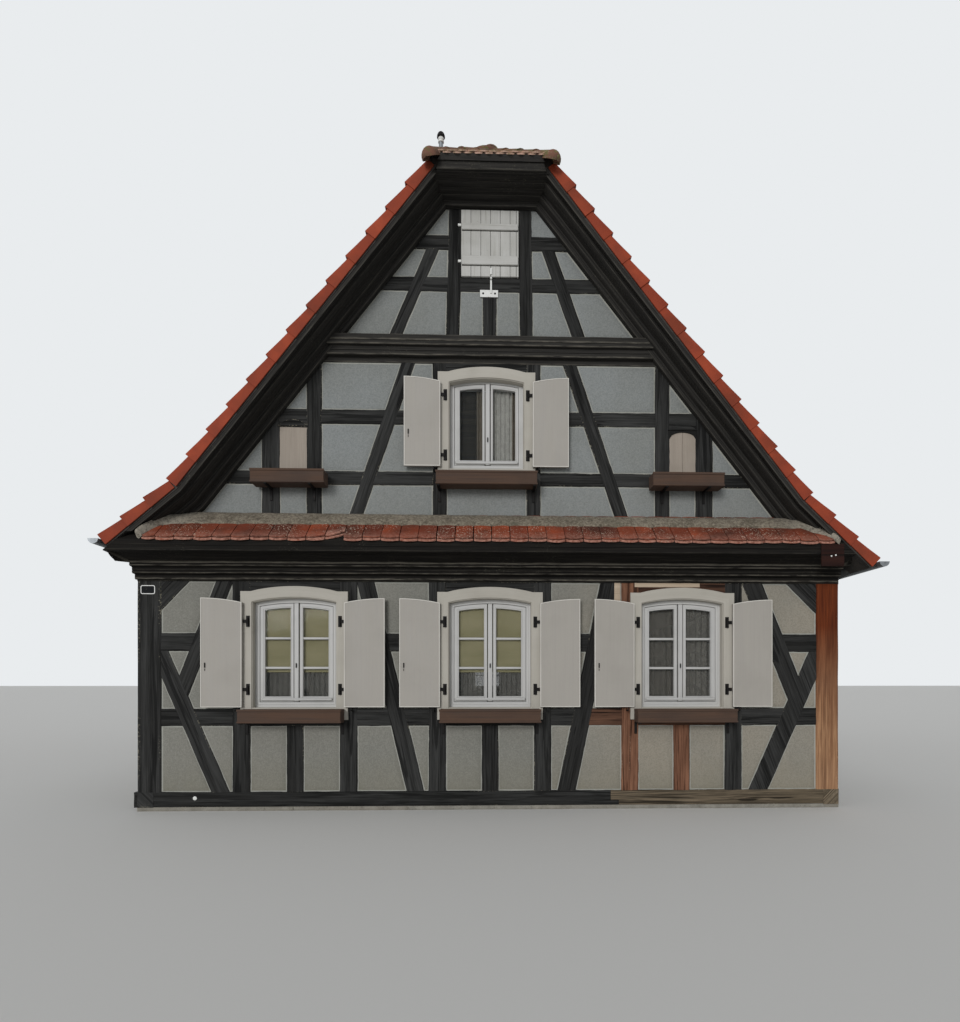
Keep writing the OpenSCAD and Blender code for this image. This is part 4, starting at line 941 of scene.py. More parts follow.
def post(piece, sx, sy):
    """A hewn square corner post with soft corners, at one corner of the house."""
    wide, deep = POST_HIGH.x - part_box("replaced_corner_post")[0].x, 0.24
    soft, steps = 0.012, 20
    turns = ((0, 0), (1, 0), (1, 1), (0, 1))
    outline, worn = [], []
    for (cx, cy), (nx, ny) in zip(turns, turns[1:] + turns[:1]):
        x, y = cx * wide, cy * deep
        pair = [(x, y + (soft, -soft)[cy]), (x + (soft, -soft)[cx], y)]
        outline += pair[::-1] if cx != cy else pair
        outline += [(x + (nx * wide - x) * share, y + (ny * deep - y) * share) for share in (0.15, 0.5, 0.85)]
        worn += [1.0, 1.0, 0.0, 0.0, 0.0]
    rings = []
    for k in range(steps + 1):
        z = SILL_Z + (HEAD_Z - SILL_Z) * k / steps
        rings.append(shaken([Vector((sx * (HALF_W - x), sy * (HALF_L - y), z)) for x, y in outline],
                            0.0035, 2.9))
    for ring, z in ((rings[0], SILL_Z), (rings[-1], HEAD_Z)):
        for p in ring:
            p.z = z
    swept(piece, rings, worn)


def posts():
    """Three old corner posts, and the new one at the right of the front."""
    old, new = Piece(), Piece()
    for sx, sy in ((-1, -1), (-1, 1), (1, 1)):
        post(old, sx, sy)
    post(new, 1, -1)
    old.make("corner_posts_hewn", [OLD_TIMBER], "old_timber", ["corner_posts"])
    new.make("replaced_corner_post_sawn", [POST_WOOD], "new_timber", ["replaced_corner_post"])


def tail(width, length, thick, sag, lift):
    """A plain tile with a rounded end: x across, y up the slope, z away from the roof."""
    half, bends = width / 2, 5
    line = [(half, length), (-half, length)]
    for i in range(bends + 1):
        x = -half + width * i / bends
        line.append((x, sag * (2 * x / width) ** 2))
    points = []
    for top in (0, thick):
        points += [Vector((x, y, lift * (1 - y / length) + top)) for x, y in line]
    size = len(line)
    faces = [tuple(range(size))[::-1], tuple(range(size, 2 * size))]
    faces += [(i, (i + 1) % size, size + (i + 1) % size, size + i) for i in range(size)]
    return points, faces


def slope_frame(across, up, origin):
    """Matrix of a slope: x across, y up the slope, z away from the roof."""
    away = across.cross(up)
    rows = [(across[i], up[i], away[i], origin[i]) for i in range(3)]
    return Matrix([*rows, (0, 0, 0, 1)])


def tiled(piece, plane, rows, span, gauge, pitch, shape, keep, start=0.0, worn=0.0):
    """Rows of tiles on a slope, each moved and turned a little; keep() trims a point."""
    points_of, faces_of = shape
    for row in range(rows):
        shift = pitch / 2 if row % 2 else 0.0
        for column in range(-1, round(span / pitch) + 1):
            x = -span / 2 + pitch * (column + 0.5) + shift
            y = start + row * gauge + rng.uniform(-0.003, 0.003)
            turn = Matrix.Rotation(rng.uniform(-0.012, 0.012), 4, "Z")
            place = plane @ Matrix.Translation((x, y, rng.uniform(0, 0.002))) @ turn
            points = [place @ p for p in points_of]
            kept = [keep(p) for p in points]
            if sum((a - b).length > 0.03 for a, b in zip(points, kept)) > 0.6 * len(points):
                continue
            first = piece.add(kept, worn if row == 0 else 0.0)
            for corners in faces_of:
                piece.face([first + i for i in corners], [tuple(points_of[i].xy) for i in corners])


def roof_boards():
    """The slabs under the tiles, with their gable ends drawn in behind the verge tiles."""
    for name in ("left_roof", "right_roof", "eave_roofs"):
        source = nodes[name].data
        piece = Piece()
        points = []
        for vertex in source.vertices:
            p = vertex.co.copy()
            if abs(p.y) > HALF_L + VERGE - 0.002:
                p.y -= math.copysign(VERGE - VERGE_FRONT, p.y)
            points.append(p)
        first = piece.add(points)
        for polygon in source.polygons:
            piece.face([first + i for i in polygon.vertices])
        piece.make(name + "_boards", [ROOF_BOARDS], "roof_tile", [name])


def stretches(side):
    """A slope's two straight stretches from its eave up: foot, angle and length."""
    knee_x, eave_x = RIDGE_X + side * KNEE[side], RIDGE_X + side * EAVE[side]
    flared = (EAVE[side] - KNEE[side]) / math.cos(FLARE[side])
    yield eave_x, roof_z(side, 0, eave_x), FLARE[side], flared
    yield knee_x, roof_z(side, 0, knee_x), PITCH, KNEE[side] / math.cos(PITCH)


def roof_fields():
    """Plain tiles on both slopes, in rows from the eave over the bend up to the ridge."""
    gauge, pitch = 0.155, 0.18
    shape = tail(pitch - 0.004, 0.175, 0.012, 0.03, 0.0125)
    edge = HALF_L + VERGE_FRONT - 0.16
    under_caps = 0.05

    def keep(p):
        limit = edge
        if p.z > HIP_Z:
            limit = min(edge, HALF_L + HIP_OVER - (p.z - HIP_Z) / math.tan(HIP_PITCH))
        return Vector((p.x, min(max(p.y, -limit), limit), p.z))

    for side, name in ((-1, "left"), (1, "right")):
        piece = Piece()
        for x, z, angle, run in stretches(side):
            if angle == PITCH:
                run -= under_caps
            up = Vector((-side * math.cos(angle), 0, math.sin(angle)))
            plane = slope_frame(Vector((0, side, 0)), up, Vector((x, 0, z)))
            rows = round(run / gauge)
            tiled(piece, plane, rows, 2 * edge, run / rows, pitch, shape, keep)
        piece.make(name + "_slope_tiles", [ROOF_TILE], "roof_tile")


def hip_fields():
    """Small mossy tiles with round ends on both half-hips."""
    gauge, pitch = 0.12, 0.113
    shape = tail(pitch - 0.003, 0.14, 0.013, 0.035, 0.014)
    piece = Piece()
    run = (RIDGE_Z - HIP_Z) / math.sin(HIP_PITCH)
    rows = round(run / gauge)
    span = roof_x(1, 0, HIP_Z) - roof_x(-1, 0, HIP_Z) + 0.05

    def keep(p):
        left, right = roof_x(-1, 0, p.z), roof_x(1, 0, p.z)
        if left > right:
            left = right = RIDGE_X
        return Vector((min(max(p.x, left), right), p.y, p.z))

    for facing in (-1, 1):
        up = Vector((0, -facing * math.cos(HIP_PITCH), math.sin(HIP_PITCH)))
        foot = Vector((RIDGE_X, facing * (HALF_L + HIP_OVER), HIP_Z))
        plane = slope_frame(Vector((-facing, 0, 0)), up, foot)
        tiled(piece, plane, rows, span, run / rows, pitch, shape, keep, -0.012, 0.7)
        under = plane @ Matrix.Translation((0.5 * pitch, 0, -0.017))
        tiled(piece, under, 1, span, gauge, pitch, shape, keep, -0.018, 1.0)
    piece.make("half_hip_tiles", [MOSSY_TILE], "roof_tile")


def cap(piece, foot, head, radius, domed=False):
    """One half-round ridge tile between two points of its axis, wider at its foot."""
    parts, half, thick = 10, math.radians(100), 0.016
    axis = (head - foot).normalized()
    flat = axis.cross(UP).normalized()
    up = flat.cross(axis).normalized()
    if up.z < 0:
        up = -up
    angles = [-half + 2 * half * i / parts for i in range(parts + 1)]

    def arch(centre, size, turns):
        return [centre + flat * (size * math.sin(a)) + up * (size * math.cos(a)) for a in turns]

    def ring(centre, size):
        return arch(centre, size, angles) + arch(centre, size - thick, angles[::-1])

    rings = []
    if domed:
        for back, share in ((0.075, 0.25), (0.066, 0.55), (0.045, 0.82), (0.02, 0.96)):
            rings.append(ring(foot - axis * back, max(thick + 0.003, radius * share)))
    stops = ((0.0, 1.0), (0.06, 0.985), (0.1, 0.94), (0.5, 0.90), (1.0, 0.86))
    rings += [ring(foot.lerp(head, share), radius * size) for share, size in stops]
    swept(piece, rings)


def ridge_caps():
    """Half-round tiles along the ridge, laid from both ends, which rest on a mossy bed."""
    piece = Piece()
    radius, lap, count = 0.09996, 0.03, 34
    end = RIDGE_END + 0.03
    step = 2 * end / count
    for i in range(count):
        y = -end + i * step
        z = RIDGE_Z - 0.04 + rng.uniform(-0.003, 0.003)
        foot, head = y - lap, y + step
        if i >= count // 2:
            foot, head = y + step + lap, y
        cap(piece, Vector((RIDGE_X, foot, z)), Vector((RIDGE_X, head, z)), radius)
    ball = [(0.02, -1), (0.5, -0.87), (0.87, -0.5), (1, 0), (0.87, 0.5), (0.5, 0.87), (0.02, 1)]
    for facing in (-1, 1):
        bed = Matrix.Translation((-0.085, facing * (end - 0.02), RIDGE_Z - 0.02))
        lathe(piece, ball, bed @ Matrix.Diagonal((0.170, 0.10, 0.068, 1)), 20)
    piece.make("ridge_caps", [CAP_TILE], "roof_tile", ["ridge_tiles"])


def hip_caps():
    """Half-round tiles up the four hips, the lowest of each with a closed end."""
    piece = Piece()
    radius, parts = 0.090, 4
    for facing in (-1, 1):
        apex = Vector((RIDGE_X, facing * RIDGE_END, RIDGE_Z - 0.045))
        for side in (-1, 1):
            x = roof_x(side, 0, HIP_Z) - side * 0.042
            foot = Vector((x, facing * (HALF_L + HIP_OVER - 0.02), HIP_Z - 0.032))
            for i in range(parts):
                jolt = Vector((0, 0, rng.uniform(-0.006, 0.004)))
                low = foot.lerp(apex, i / parts - 0.03) + jolt
                high = foot.lerp(apex, (i + 1) / parts + 0.02) + jolt
                cap(piece, low, high, radius, domed=i == 0)
    piece.make("hip_caps", [CAP_TILE], "roof_tile", ["hip_tiles"])


def verge_tile(piece, facing, foot, along, away, length):
    """An angled tile: its flat top reaches over the roof, its flange hangs in front of it."""
    flange, thick, soft = 0.098, 0.015, 0.010
    jolt = rng.uniform(-0.002, 0.002)
    rings = []
    for share, top in ((0.0, 0.036), (0.012, 0.039), (0.5, 0.020), (1.0, 0.004)):
        out, low = 0.026 - 0.010 * share + jolt, -flange + 0.008 * share
        section = [(out, low), (out, top - soft), (out - soft * 0.35, top - soft * 0.35),
                   (out - soft, top), (-0.2, top), (-0.2, top - thick), (out - thick, top - thick),
                   (out - thick, low)]
        centre = foot + along * (share * length)
        rings.append([centre + away * n + Vector((0, facing * o, 0)) for o, n in section])
    swept(piece, rings)


def verge_tiles():
    """Angled verge tiles up each rake: each lower end steps up and out over the next."""
    piece = Piece()
    lap = 0.012
    for facing in (-1, 1):
        for side in (-1, 1):
            for x, z, angle, run in stretches(side):
                count = 3
                if angle == PITCH:
                    run = (HIP_Z - z) / math.sin(PITCH) - 0.01
                    count = round(run / 0.333)
                along = Vector((-side * math.cos(angle), 0, math.sin(angle)))
                away = Vector((side * math.sin(angle), 0, math.cos(angle)))
                foot = Vector((x, facing * (HALF_L + VERGE_FRONT), z))
                step = run / count
                for i in range(count):
                    start = foot + along * (i * step - (lap if i else 0.0))
                    verge_tile(piece, facing, start, along, away, step + 0.01)
    piece.make("verge_tiles_angled", [NEW_TILE], "roof_tile", ["verge_tiles"])


def pent_ends(s):
    """Left and right limit of the pent roof's tiles, s metres up its slope."""
    share = s * math.cos(PENT_PITCH) / VERGE
    return (-HALF_W + 0.255 + 0.198 * share, HALF_W - 0.234 - 0.268 * share)


def pent_plane():
    """Matrix of the pent roof's tiles, from the middle of its eave."""
    up = Vector((0, math.cos(PENT_PITCH), math.sin(PENT_PITCH)))
    return slope_frame(Vector((1, 0, 0)), up, Vector((0, -HALF_L - VERGE, PENT_Z)))


def plate(piece, under, top, columns, rows, worn=0.0):
    """A thick sheet between two grids of points, closed round its rim."""
    wide = columns + 1
    shade = [worn] * wide + [0.0] * (rows * wide)
    first, second = piece.add(under, shade), piece.add(top, shade)
    for k in range(rows):
        for i in range(columns):
            n = k * wide + i
            piece.face([second + n, second + n + 1, second + n + 1 + wide, second + n + wide])
            piece.face([first + n, first + n + wide, first + n + 1 + wide, first + n + 1])
    for i in range(columns):
        n = rows * wide + i
        piece.face([first + i, first + i + 1, second + i + 1, second + i])
        piece.face([first + n, second + n, second + n + 1, first + n + 1])
    for k in range(rows):
        a, b = k * wide, k * wide + wide
        piece.face([first + a, second + a, second + b, first + b])
        a, b = a + columns, b + columns
        piece.face([first + a, first + b, second + b, second + a])


def pent_plate(piece, span, ends, layer, worn):
    """A tile of the pent roof between two x; its end lies ends[0] to ends[1] up the slope."""
    bottom, thick = layer
    bends, rows = 8, 4
    length = VERGE / math.cos(PENT_PITCH) - 0.004
    plane = pent_plane()
    tilt = rng.uniform(-0.002, 0.002)
    lift = rng.uniform(0, 0.004)
    top, under = [], []
    for k in range(rows + 1):
        for i in range(bends + 1):
            share = i / bends
            bow = (2 * share - 1) ** 2
            x = span[0] + (span[1] - span[0]) * share
            low = ends[0] + (ends[1] - ends[0]) * share
            low += 0.026 * bow + 0.004 * noise.noise(Vector((x * 19, bottom * 90, 7)))
            y = low + (length - low) * k / rows
            left, right = pent_ends(y)
            x = min(max(x, left), right)
            z = bottom + tilt * (share - 0.5) + lift * (1 - k / rows) + 0.004 * (1 - bow)
            under.append(plane @ Vector((x, y, z)))
            top.append(plane @ Vector((x, y, z + thick)))
    plate(piece, under, top, bends, rows, worn)


def pent_tiles():
    """Two layers of plain tiles on the pent roof, one broken off over the left window."""
    piece = Piece()
    step, narrowest = 0.1985, 0.06
    left, right = pent_ends(0)
    joints = [BROKEN_JOINT + step * k for k in range(-12, 30)]
    inner = [x for x in joints if left + narrowest < x < right - narrowest]
    joints = [left, *inner, right - 0.03]
    upper, lower = (-0.0155, 0.0135), (-0.040, 0.0135)
    for a, b in zip(joints, joints[1:]):
        span = (a + rng.uniform(0.003, 0.006), b - rng.uniform(0.003, 0.006))
        low = rng.uniform(-0.004, 0.010)
        if abs(b - BROKEN_JOINT) < 0.01:
            pent_plate(piece, span, (0.035, 0.135), upper, 1.0)
            pent_plate(piece, span, (0.005, 0.110), lower, 1.0)
            continue
        near = abs(b - BROKEN_JOINT + step) < 0.01
        pent_plate(piece, span, (low + 0.014, 0.045 if near else low + 0.014), upper, 0.35)
        pent_plate(piece, span, (low - 0.008, low - 0.008), lower, 1.0)
    piece.make("pent_tiles", [PENT_TILE], "roof_tile", ["pent_roof_tiles"])


def pent_mortar():
    """Mortar along the top of the pent roof, heaped up where it curls to the eave at its ends."""
    piece = Piece()
    top = VERGE / math.cos(PENT_PITCH)
    plane = pent_plane()
    left0, right0 = pent_ends(0)
    left1, right1 = pent_ends(top)
    band = top - 0.265
    # Points along the mortar: outer edge, inner edge, how far it heaps up, parts to the next
    stations = [
        ((left0 - 0.030, 0.03), (left0 + 0.015, 0.03), 0.3, 2),
        ((left0 - 0.060, 0.06), (left0 + 0.040, 0.10), 0.6, 3),
        ((left0 - 0.047, 0.13), (left0 + 0.075, 0.18), 0.8, 5),
        ((left0 + 0.06, 0.29), (left0 + 0.125, 0.265), 0.9, 4),
        ((left0 + 0.17, 0.46), (left0 + 0.24, band - 0.02), 0.7, 5),
        ((left1 + 0.2, top - 0.005), (left1 + 0.3, band), 0.1, 88),
        ((right1 - 0.05, 0.52), (right0 - 0.32, 0.295), 0.2, 6),
        ((right0 - 0.215, 0.37), (right0 - 0.225, 0.20), 0.4, 6),
        ((right0 - 0.085, 0.24), (right0 - 0.12, 0.125), 0.4, 5),
        ((right0 - 0.006, 0.09), (right0 - 0.055, 0.055), 0.3, 3),
        ((right0 + 0.006, 0.0), (right0 - 0.035, 0.0), 0.1, 0),
    ]
    straight = 88
    # Section from the outer to the inner edge: share of the way, height
    section = ((0.0, -0.045), (0.0, 0.012), (0.10, 0.024), (0.35, 0.030), (0.65, 0.026),
               (0.88, 0.017), (0.97, 0.008), (1.0, 0.0), (0.93, -0.014))

    def ring(a, b, heap):
        points = []
        for part, height in section:
            spot = a.lerp(b, part)
            height_here = height + 0.006 * noise.noise(Vector((spot.x * 21, spot.y * 21, height * 30)))
            if height > 0:
                height_here += 0.045 * heap * math.sin(math.pi * min(1, part + 0.15))
            p = plane @ Vector((spot.x, spot.y, height_here))
            left, right = (roof_x(side, ROOF_BACK, p.z) for side in (-1, 1))
            p.x = min(max(p.x, left), right)
            points.append(p)
        return points

    rings = []
    for here, after in zip(stations, stations[1:]):
        count = here[3]
        for i in range(count + (after is stations[-1])):
            share = i / count
            a, b = (Vector(here[n]).lerp(Vector(after[n]), share) for n in (0, 1))
            heap = here[2] + (after[2] - here[2]) * share
            wave = 0.020 * noise.noise(Vector((a.x * 5, a.y * 5, 3)))
            wave += 0.012 * noise.noise(Vector((a.x * 23, 1, 3)))
            if count == straight:
                heap = here[2] * max(0.0, 1 - share * 9) + after[2] * max(0.0, share * 9 - 8)
            else:
                wave *= 0.3
            rings.append(ring(a, b + (a - b).normalized() * wave, heap))
    swept(piece, rings)
    piece.make("pent_mortar", [MORTAR], "mortar", ["pent_roof_mortar"])


def placed(wall, across):
    """Matrix from a wall's own frame (x across, y into the wall, z up) to the house's."""
    if wall == "front":
        return Matrix.Translation((across, -HALF_L, 0))
    if wall == "rear":
        return Matrix.Translation((across, HALF_L, 0)) @ Matrix.Diagonal((1, -1, 1, 1))
    if wall == "left":
        return Matrix.Translation((-HALF_W, across, 0)) @ Matrix.Rotation(-math.pi / 2, 4, "Z")
    return Matrix.Translation((HALF_W, across, 0)) @ Matrix.Rotation(math.pi / 2, 4, "Z")


class Window:
    """One window: its place, the half width and height of its opening, and its panes."""

    def __init__(self, name, wall, across, attic=False):
        self.name = name
        self.matrix = placed(wall, across)
        self.half = 0.42 if attic else 0.465
        self.z0 = ATTIC_OPEN_Z if attic else OPEN_Z
        self.height = ATTIC_OPEN_H if attic else OPEN_H
        self.rows = 1 if attic else 3
        self.top = self.z0 + self.height
        self.stile = 0.0615 if attic else 0.0715
        self.pane = 0.318 if attic else 0.357
        self.shift = 0.012 if name == "attic_window" else 0.0
        self.pane_top = self.top - (0.070 if attic else 0.100)
        self.frame_top = self.top - (0.020 if attic else 0.045)

    def arc(self, x, half=None):
        """Height of the arched head over its foot."""
        half = half or self.half
        radius = (half * half + RISE * RISE) / (2 * RISE)
        return math.sqrt(max(radius * radius - x * x, 0)) - (radius - RISE)


def loop(low, high, z0, crown, parts=12):
    """Corners of an opening from the lower left one round: a crown() gives its top."""
    points = [(low, z0)]
    points += [(low + (high - low) * i / parts, crown(low + (high - low) * i / parts))
               for i in range(parts + 1)]
    return points + [(high, z0)]


def framed(piece, outer, inner, profile, matrix):
    """A frame between two loops; the profile gives the share across and the y of each ring."""
    rings = []
    for share, y in profile:
        rings.append([matrix @ Vector((a + (c - a) * share, y, b + (d - b) * share))
                      for (a, b), (c, d) in zip(outer, inner)])
    swept(piece, rings, looped=True, turned=True)


def surrounds(windows):
    """Board surrounds with an arched head, a rebate, and linings through the wall."""
    piece = Piece()
    profile = [(0.0, -0.001), (0.0, -0.032), (0.02, -0.035), (0.91, -0.035), (0.93, -0.032),
               (0.935, -0.022), (0.985, -0.021), (1.0, -0.016), (1.0, 0.178), (0.70, 0.178),
               (0.70, -0.001)]
    for w in windows:
        side, low, flat = w.half + 0.135, w.z0 - 0.14, w.top + 0.125

        def crown(x):
            if abs(x) > w.half - 0.01:
                return flat
            return max(flat, flat + 0.009 + w.arc(x, w.half - 0.01))

        head = loop(-w.half, w.half, w.z0, lambda x: w.top + w.arc(x), 16)
        outer = [(-side, low), (-side, flat), (-w.half - 0.02, flat)]
        outer += [(x, crown(x)) for x, _ in head[2:-2]]
        outer += [(w.half + 0.02, flat), (side, flat), (side, low)]
        spring = [(-w.half, w.top - 0.01), (w.half, w.top - 0.01)]
        inner = [head[0], spring[0], *head[1:-1], spring[1], head[-1]]
        framed(piece, outer, inner, profile, w.matrix)
    piece.make("window_surrounds_boarded", [SURROUND], "surround_paint", ["window_surrounds"])


# Sections of the window frame and its sashes: share of the way in, depth behind the wall
FRAME_PROFILE = [(0.0, 0.060), (0.45, 0.060), (0.5, 0.063), (0.55, 0.060), (0.95, 0.061),
                 (1.0, 0.066), (1.0, 0.118), (0.0, 0.119)]
SASH_PROFILE = [(0.0, 0.072), (0.04, 0.068), (0.62, 0.068), (0.68, 0.071), (0.74, 0.069),
                (0.93, 0.070), (1.0, 0.080), (1.0, 0.112), (0.0, 0.114)]


def window_frames(windows):
    """Fixed frames, two sashes each with grooves, glazing bars, and the middle strip."""
    piece = Piece()
    for w in windows:
        half, z0, top, mid = w.half, w.z0, w.top, w.shift
        edge, foot, bar = half - 0.05, z0 + 0.125, 0.028
        outer = loop(-half + 0.001, half - 0.001, z0 + 0.001, lambda x: top + w.arc(x) - 0.001)
        inner = loop(-edge, edge, z0 + 0.06, lambda x: w.frame_top + w.arc(x))
        framed(piece, outer, inner, FRAME_PROFILE, w.matrix)
        for s in (-1, 1):
            ends = sorted((s * 0.035 + mid, s * (edge - 0.003)))
            low, high = sorted((s * w.stile + mid, s * w.pane + mid))
            outer = loop(*ends, z0 + 0.063, lambda x: w.frame_top - 0.004 + w.arc(x))
            inner = loop(low, high, foot, lambda x: w.pane_top + w.arc(x))
            framed(piece, outer, inner, SASH_PROFILE, w.matrix)
            step = (top - 0.046 - foot) / w.rows
            for i in range(1, w.rows):
                z = foot + i * step - bar
                block(piece, (low - 0.004, 0.074, z), (high + 0.004, 0.108, z + bar), 0.007, w.matrix)
        crown = w.frame_top - 0.002 + w.arc(0)
        block(piece, (mid - 0.026, 0.052, z0 + 0.066), (mid + 0.026, 0.080, crown), 0.006, w.matrix)
        block(piece, (-edge + 0.01, 0.046, z0 + 0.075), (edge - 0.01, 0.068, z0 + 0.108), 0.008, w.matrix)
    piece.make("window_frames_joinery", [SASH], "sash_paint", ["window_frames"])


def latches(windows):
    """A small dark latch on the middle strip of each window."""
    piece = Piece()
    for w in windows:
        z = w.z0 + 0.125 + (w.height - 0.21) * (0.36 if w.rows == 3 else 0.3)
        low, high = (w.shift - 0.006, 0.038, z - 0.026), (w.shift + 0.006, 0.051, z + 0.026)
        block(piece, low, high, 0.003, w.matrix)
    piece.make("window_latches", [IRON], "black_iron")


def glazing(windows):
    """A thin pane of glass in each sash."""
    piece = Piece()
    for w in windows:
        for s in (-1, 1):
            low, high = sorted((s * (w.stile - 0.004) + w.shift, s * (w.pane + 0.004) + w.shift))
            outline = loop(low, high, w.z0 + 0.121, lambda x: w.pane_top + 0.004 + w.arc(x))
            rings = [[w.matrix @ Vector((x, y, z)) for x, z in outline] for y in (0.088, 0.092)]
            swept(piece, rings)
    piece.make("window_panes", [GLASS], "glass", ["window_glass"])


def leaf_outline(w, hinge):
    """Outline of an open shutter in the window's frame: x and z, and its hinge side's x."""
    gap = 0.005
    axis = w.half + PIN
    near, far = 2 * axis - w.half + gap, 2 * axis - gap
    points = [(near, w.z0 + gap), (far, w.z0 + gap)]
    parts = 8
    for i in range(parts + 1):
        x = far + (near - far) * i / parts
        closed = 2 * axis - x
        points.append((x, w.top - gap + w.arc(closed, w.half - gap)))
    return [Vector((hinge * x, z)) for x, z in points]


def leaf(piece, w, hinge, back, face):
    """A board leaf with a thin raised rim, its grain upright."""
    outline = leaf_outline(w, hinge)
    if hinge < 0:
        outline.reverse()
    out = outward(outline, 0.3)
    shift = rng.uniform(0, 20)
    starts, marks = [], []
    groove = face + 0.003
    for inset, y in ((0.0, back), (0.0, groove), (0.0025, face), (0.0105, face), (0.012, groove)):
        ring = [p - o * inset for p, o in zip(outline, out)]
        marks.append([(p.y + shift, p.x) for p in ring])
        starts.append(piece.add([w.matrix @ Vector((p.x, y, p.y)) for p in ring]))
    size = len(outline)
    for k, i, j, corners in bands(starts, size):
        grain = [marks[k][i], marks[k][j], marks[k + 1][j], marks[k + 1][i]]
        piece.face(corners, grain, 1 if k in (1, 2) else 0)
    piece.face([starts[-1] + i for i in range(size)], marks[-1])
    piece.face([starts[0] + i for i in range(size)][::-1], marks[0][::-1])


def hinge_levels(w):
    """Heights of a leaf's two hinges."""
    if w.rows == 3:
        return (w.z0 + 0.205, w.top - 0.215)
    return (w.z0 + 0.145, w.top - 0.143)


def hinge(piece, w, side, z, slot):
    """An eye round the shutter's pin, and the strap on the leaf."""
    axis = side * (w.half + PIN)
    eye = [(0.0066, -0.03), (0.0090, -0.03), (0.0090, 0.03), (0.0066, 0.03)]
    lathe(piece, eye, w.matrix @ Matrix.Translation((axis, -PIN, z)), 24, slot, looped=True)
    near, far = sorted((axis + side * 0.008, axis + side * 0.133))
    block(piece, (near, -0.0515, z - 0.018), (far, -0.0462, z + 0.018), 0.0015, w.matrix, slot)


def moving_shutters(windows):
    """Eight leaves with hinge straps and eyes; the left ones show the mark of their bolt."""
    for w in windows:
        for side, word in ((-1, "left"), (1, "right")):
            name = f"{w.name}_{word}_shutter"
            piece = Piece()
            leaf(piece, w, side, -0.051, -0.086)
            for z in hinge_levels(w):
                hinge(piece, w, side, z, 2)
            if side < 0:
                x, z = 0.055 - 2 * (w.half + PIN), w.z0 + w.height * 0.4
                low, high = (x - 0.006, -0.094, z - 0.026), (x + 0.006, -0.0835, z + 0.030)
                block(piece, low, high, 0.003, w.matrix, 2)
                low, high = (x - 0.003, -0.089, z - 0.062), (x + 0.003, -0.0835, z - 0.034)
                block(piece, low, high, 0.0015, w.matrix, 2)
            piece.make(name + "_leaf", [SHUTTER, SHUTTER_RIM, IRON], "shutter_paint", [name], body=name)


def fixed_shutters(windows):
    """The leaves of the sides and the rear, flat on their surrounds."""
    piece = Piece()
    for w in windows:
        for side in (-1, 1):
            leaf(piece, w, side, -0.036, -0.070)
    piece.make("fixed_shutters_boarded", [SHUTTER, SHUTTER_RIM], "shutter_paint", ["fixed_shutters"])


def blinds(windows):
    """Roller blinds behind the two left windows of the front, each a thin hanging sheet."""
    columns, rows = 24, 30
    for w in windows:
        wide, z0, z1 = w.half - 0.032, w.z0 + 0.40, w.top - 0.012
        points = []
        for k, i in itertools.product(range(rows + 1), range(columns + 1)):
            x = -wide + 2 * wide * i / columns
            z = z1 + (z0 - z1) * k / rows
            wave = 0.0010 * noise.noise(Vector((x * 4, z * 1.3, w.matrix[0][3])))
            points.append(w.matrix @ Vector((x, 0.1212 + wave, z)))
        sheet_piece(w.name + "_blind", points, (columns, rows), BLIND)
    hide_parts("roller_blinds")


def sheet_piece(name, points, grid, material, dense=None, tint=None):
    """A hung sheet of cloth, with how dense and how brown it is at each point."""
    columns, rows = grid
    wide = columns + 1
    starts = [k * wide + i for k in range(rows) for i in range(columns)]
    faces = [(n, n + 1, n + wide + 1, n + wide) for n in starts]
    mesh = bpy.data.meshes.new(name)
    mesh.from_pydata([tuple(p) for p in points], [], faces)
    for key, values in (("wear", dense), ("tint", tint)):
        attribute = mesh.attributes.new(key, "FLOAT", "POINT")
        attribute.data.foreach_set("value", values or [0.0] * len(points))
    mesh.materials.append(material)
    mesh.shade_smooth()
    piece = bpy.data.objects.new(name, mesh)
    bpy.context.scene.collection.objects.link(piece)
    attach(piece, "house")
    return piece


def net(name, share):
    """How dense and how brown a curtain is, at a share of its width from the left."""
    if name in ("left_window", "middle_window"):
        return 0.38, 0.25
    if name == "right_window":
        return (0.45, 0.55) if share < 0.5 else (0.5, 0.4)
    if name == "attic_window":
        if share < 0.36:
            return 0.12, 0.3
        if share < 0.5:
            return 0.8, 0.85
        return (0.9, 0.0) if share < 0.86 else (0.95, 0.9)
    return 0.7, 0.1


def curtains(windows):
    """A gathered net curtain behind each window, hanging in upright folds from its rod."""
    for w in windows:
        wide, z0, z1 = w.half - 0.013, w.z0 + 0.025, w.top - 0.0215
        folds = 13 + rng.randrange(4)
        phase = rng.uniform(0, 6)
        columns, rows = folds * 8, 12
        shares = [i / columns for i in range(columns + 1)]
        lines = []
        for k in range(rows + 1):
            line = []
            for share in shares:
                depth = 0.010 + 0.006 * noise.noise(Vector((share * 5, phase, 0)))
                y = 0.152 + depth * math.sin(math.tau * folds * share + phase)
                y += 0.003 * noise.noise(Vector((share * 9, k * 0.13, phase)))
                line.append(Vector((-wide + 2 * wide * share, y, z1 + (z0 - z1) * k / rows)))
            lines.append(line)
        points = [w.matrix @ p for line in lines for p in line]
        dense, tint = ([net(w.name, share)[n] for share in shares] * len(lines) for n in (0, 1))
        sheet_piece(w.name + "_curtain", points, (columns, rows), CURTAIN,
                                  dense, tint)
    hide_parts("curtains")


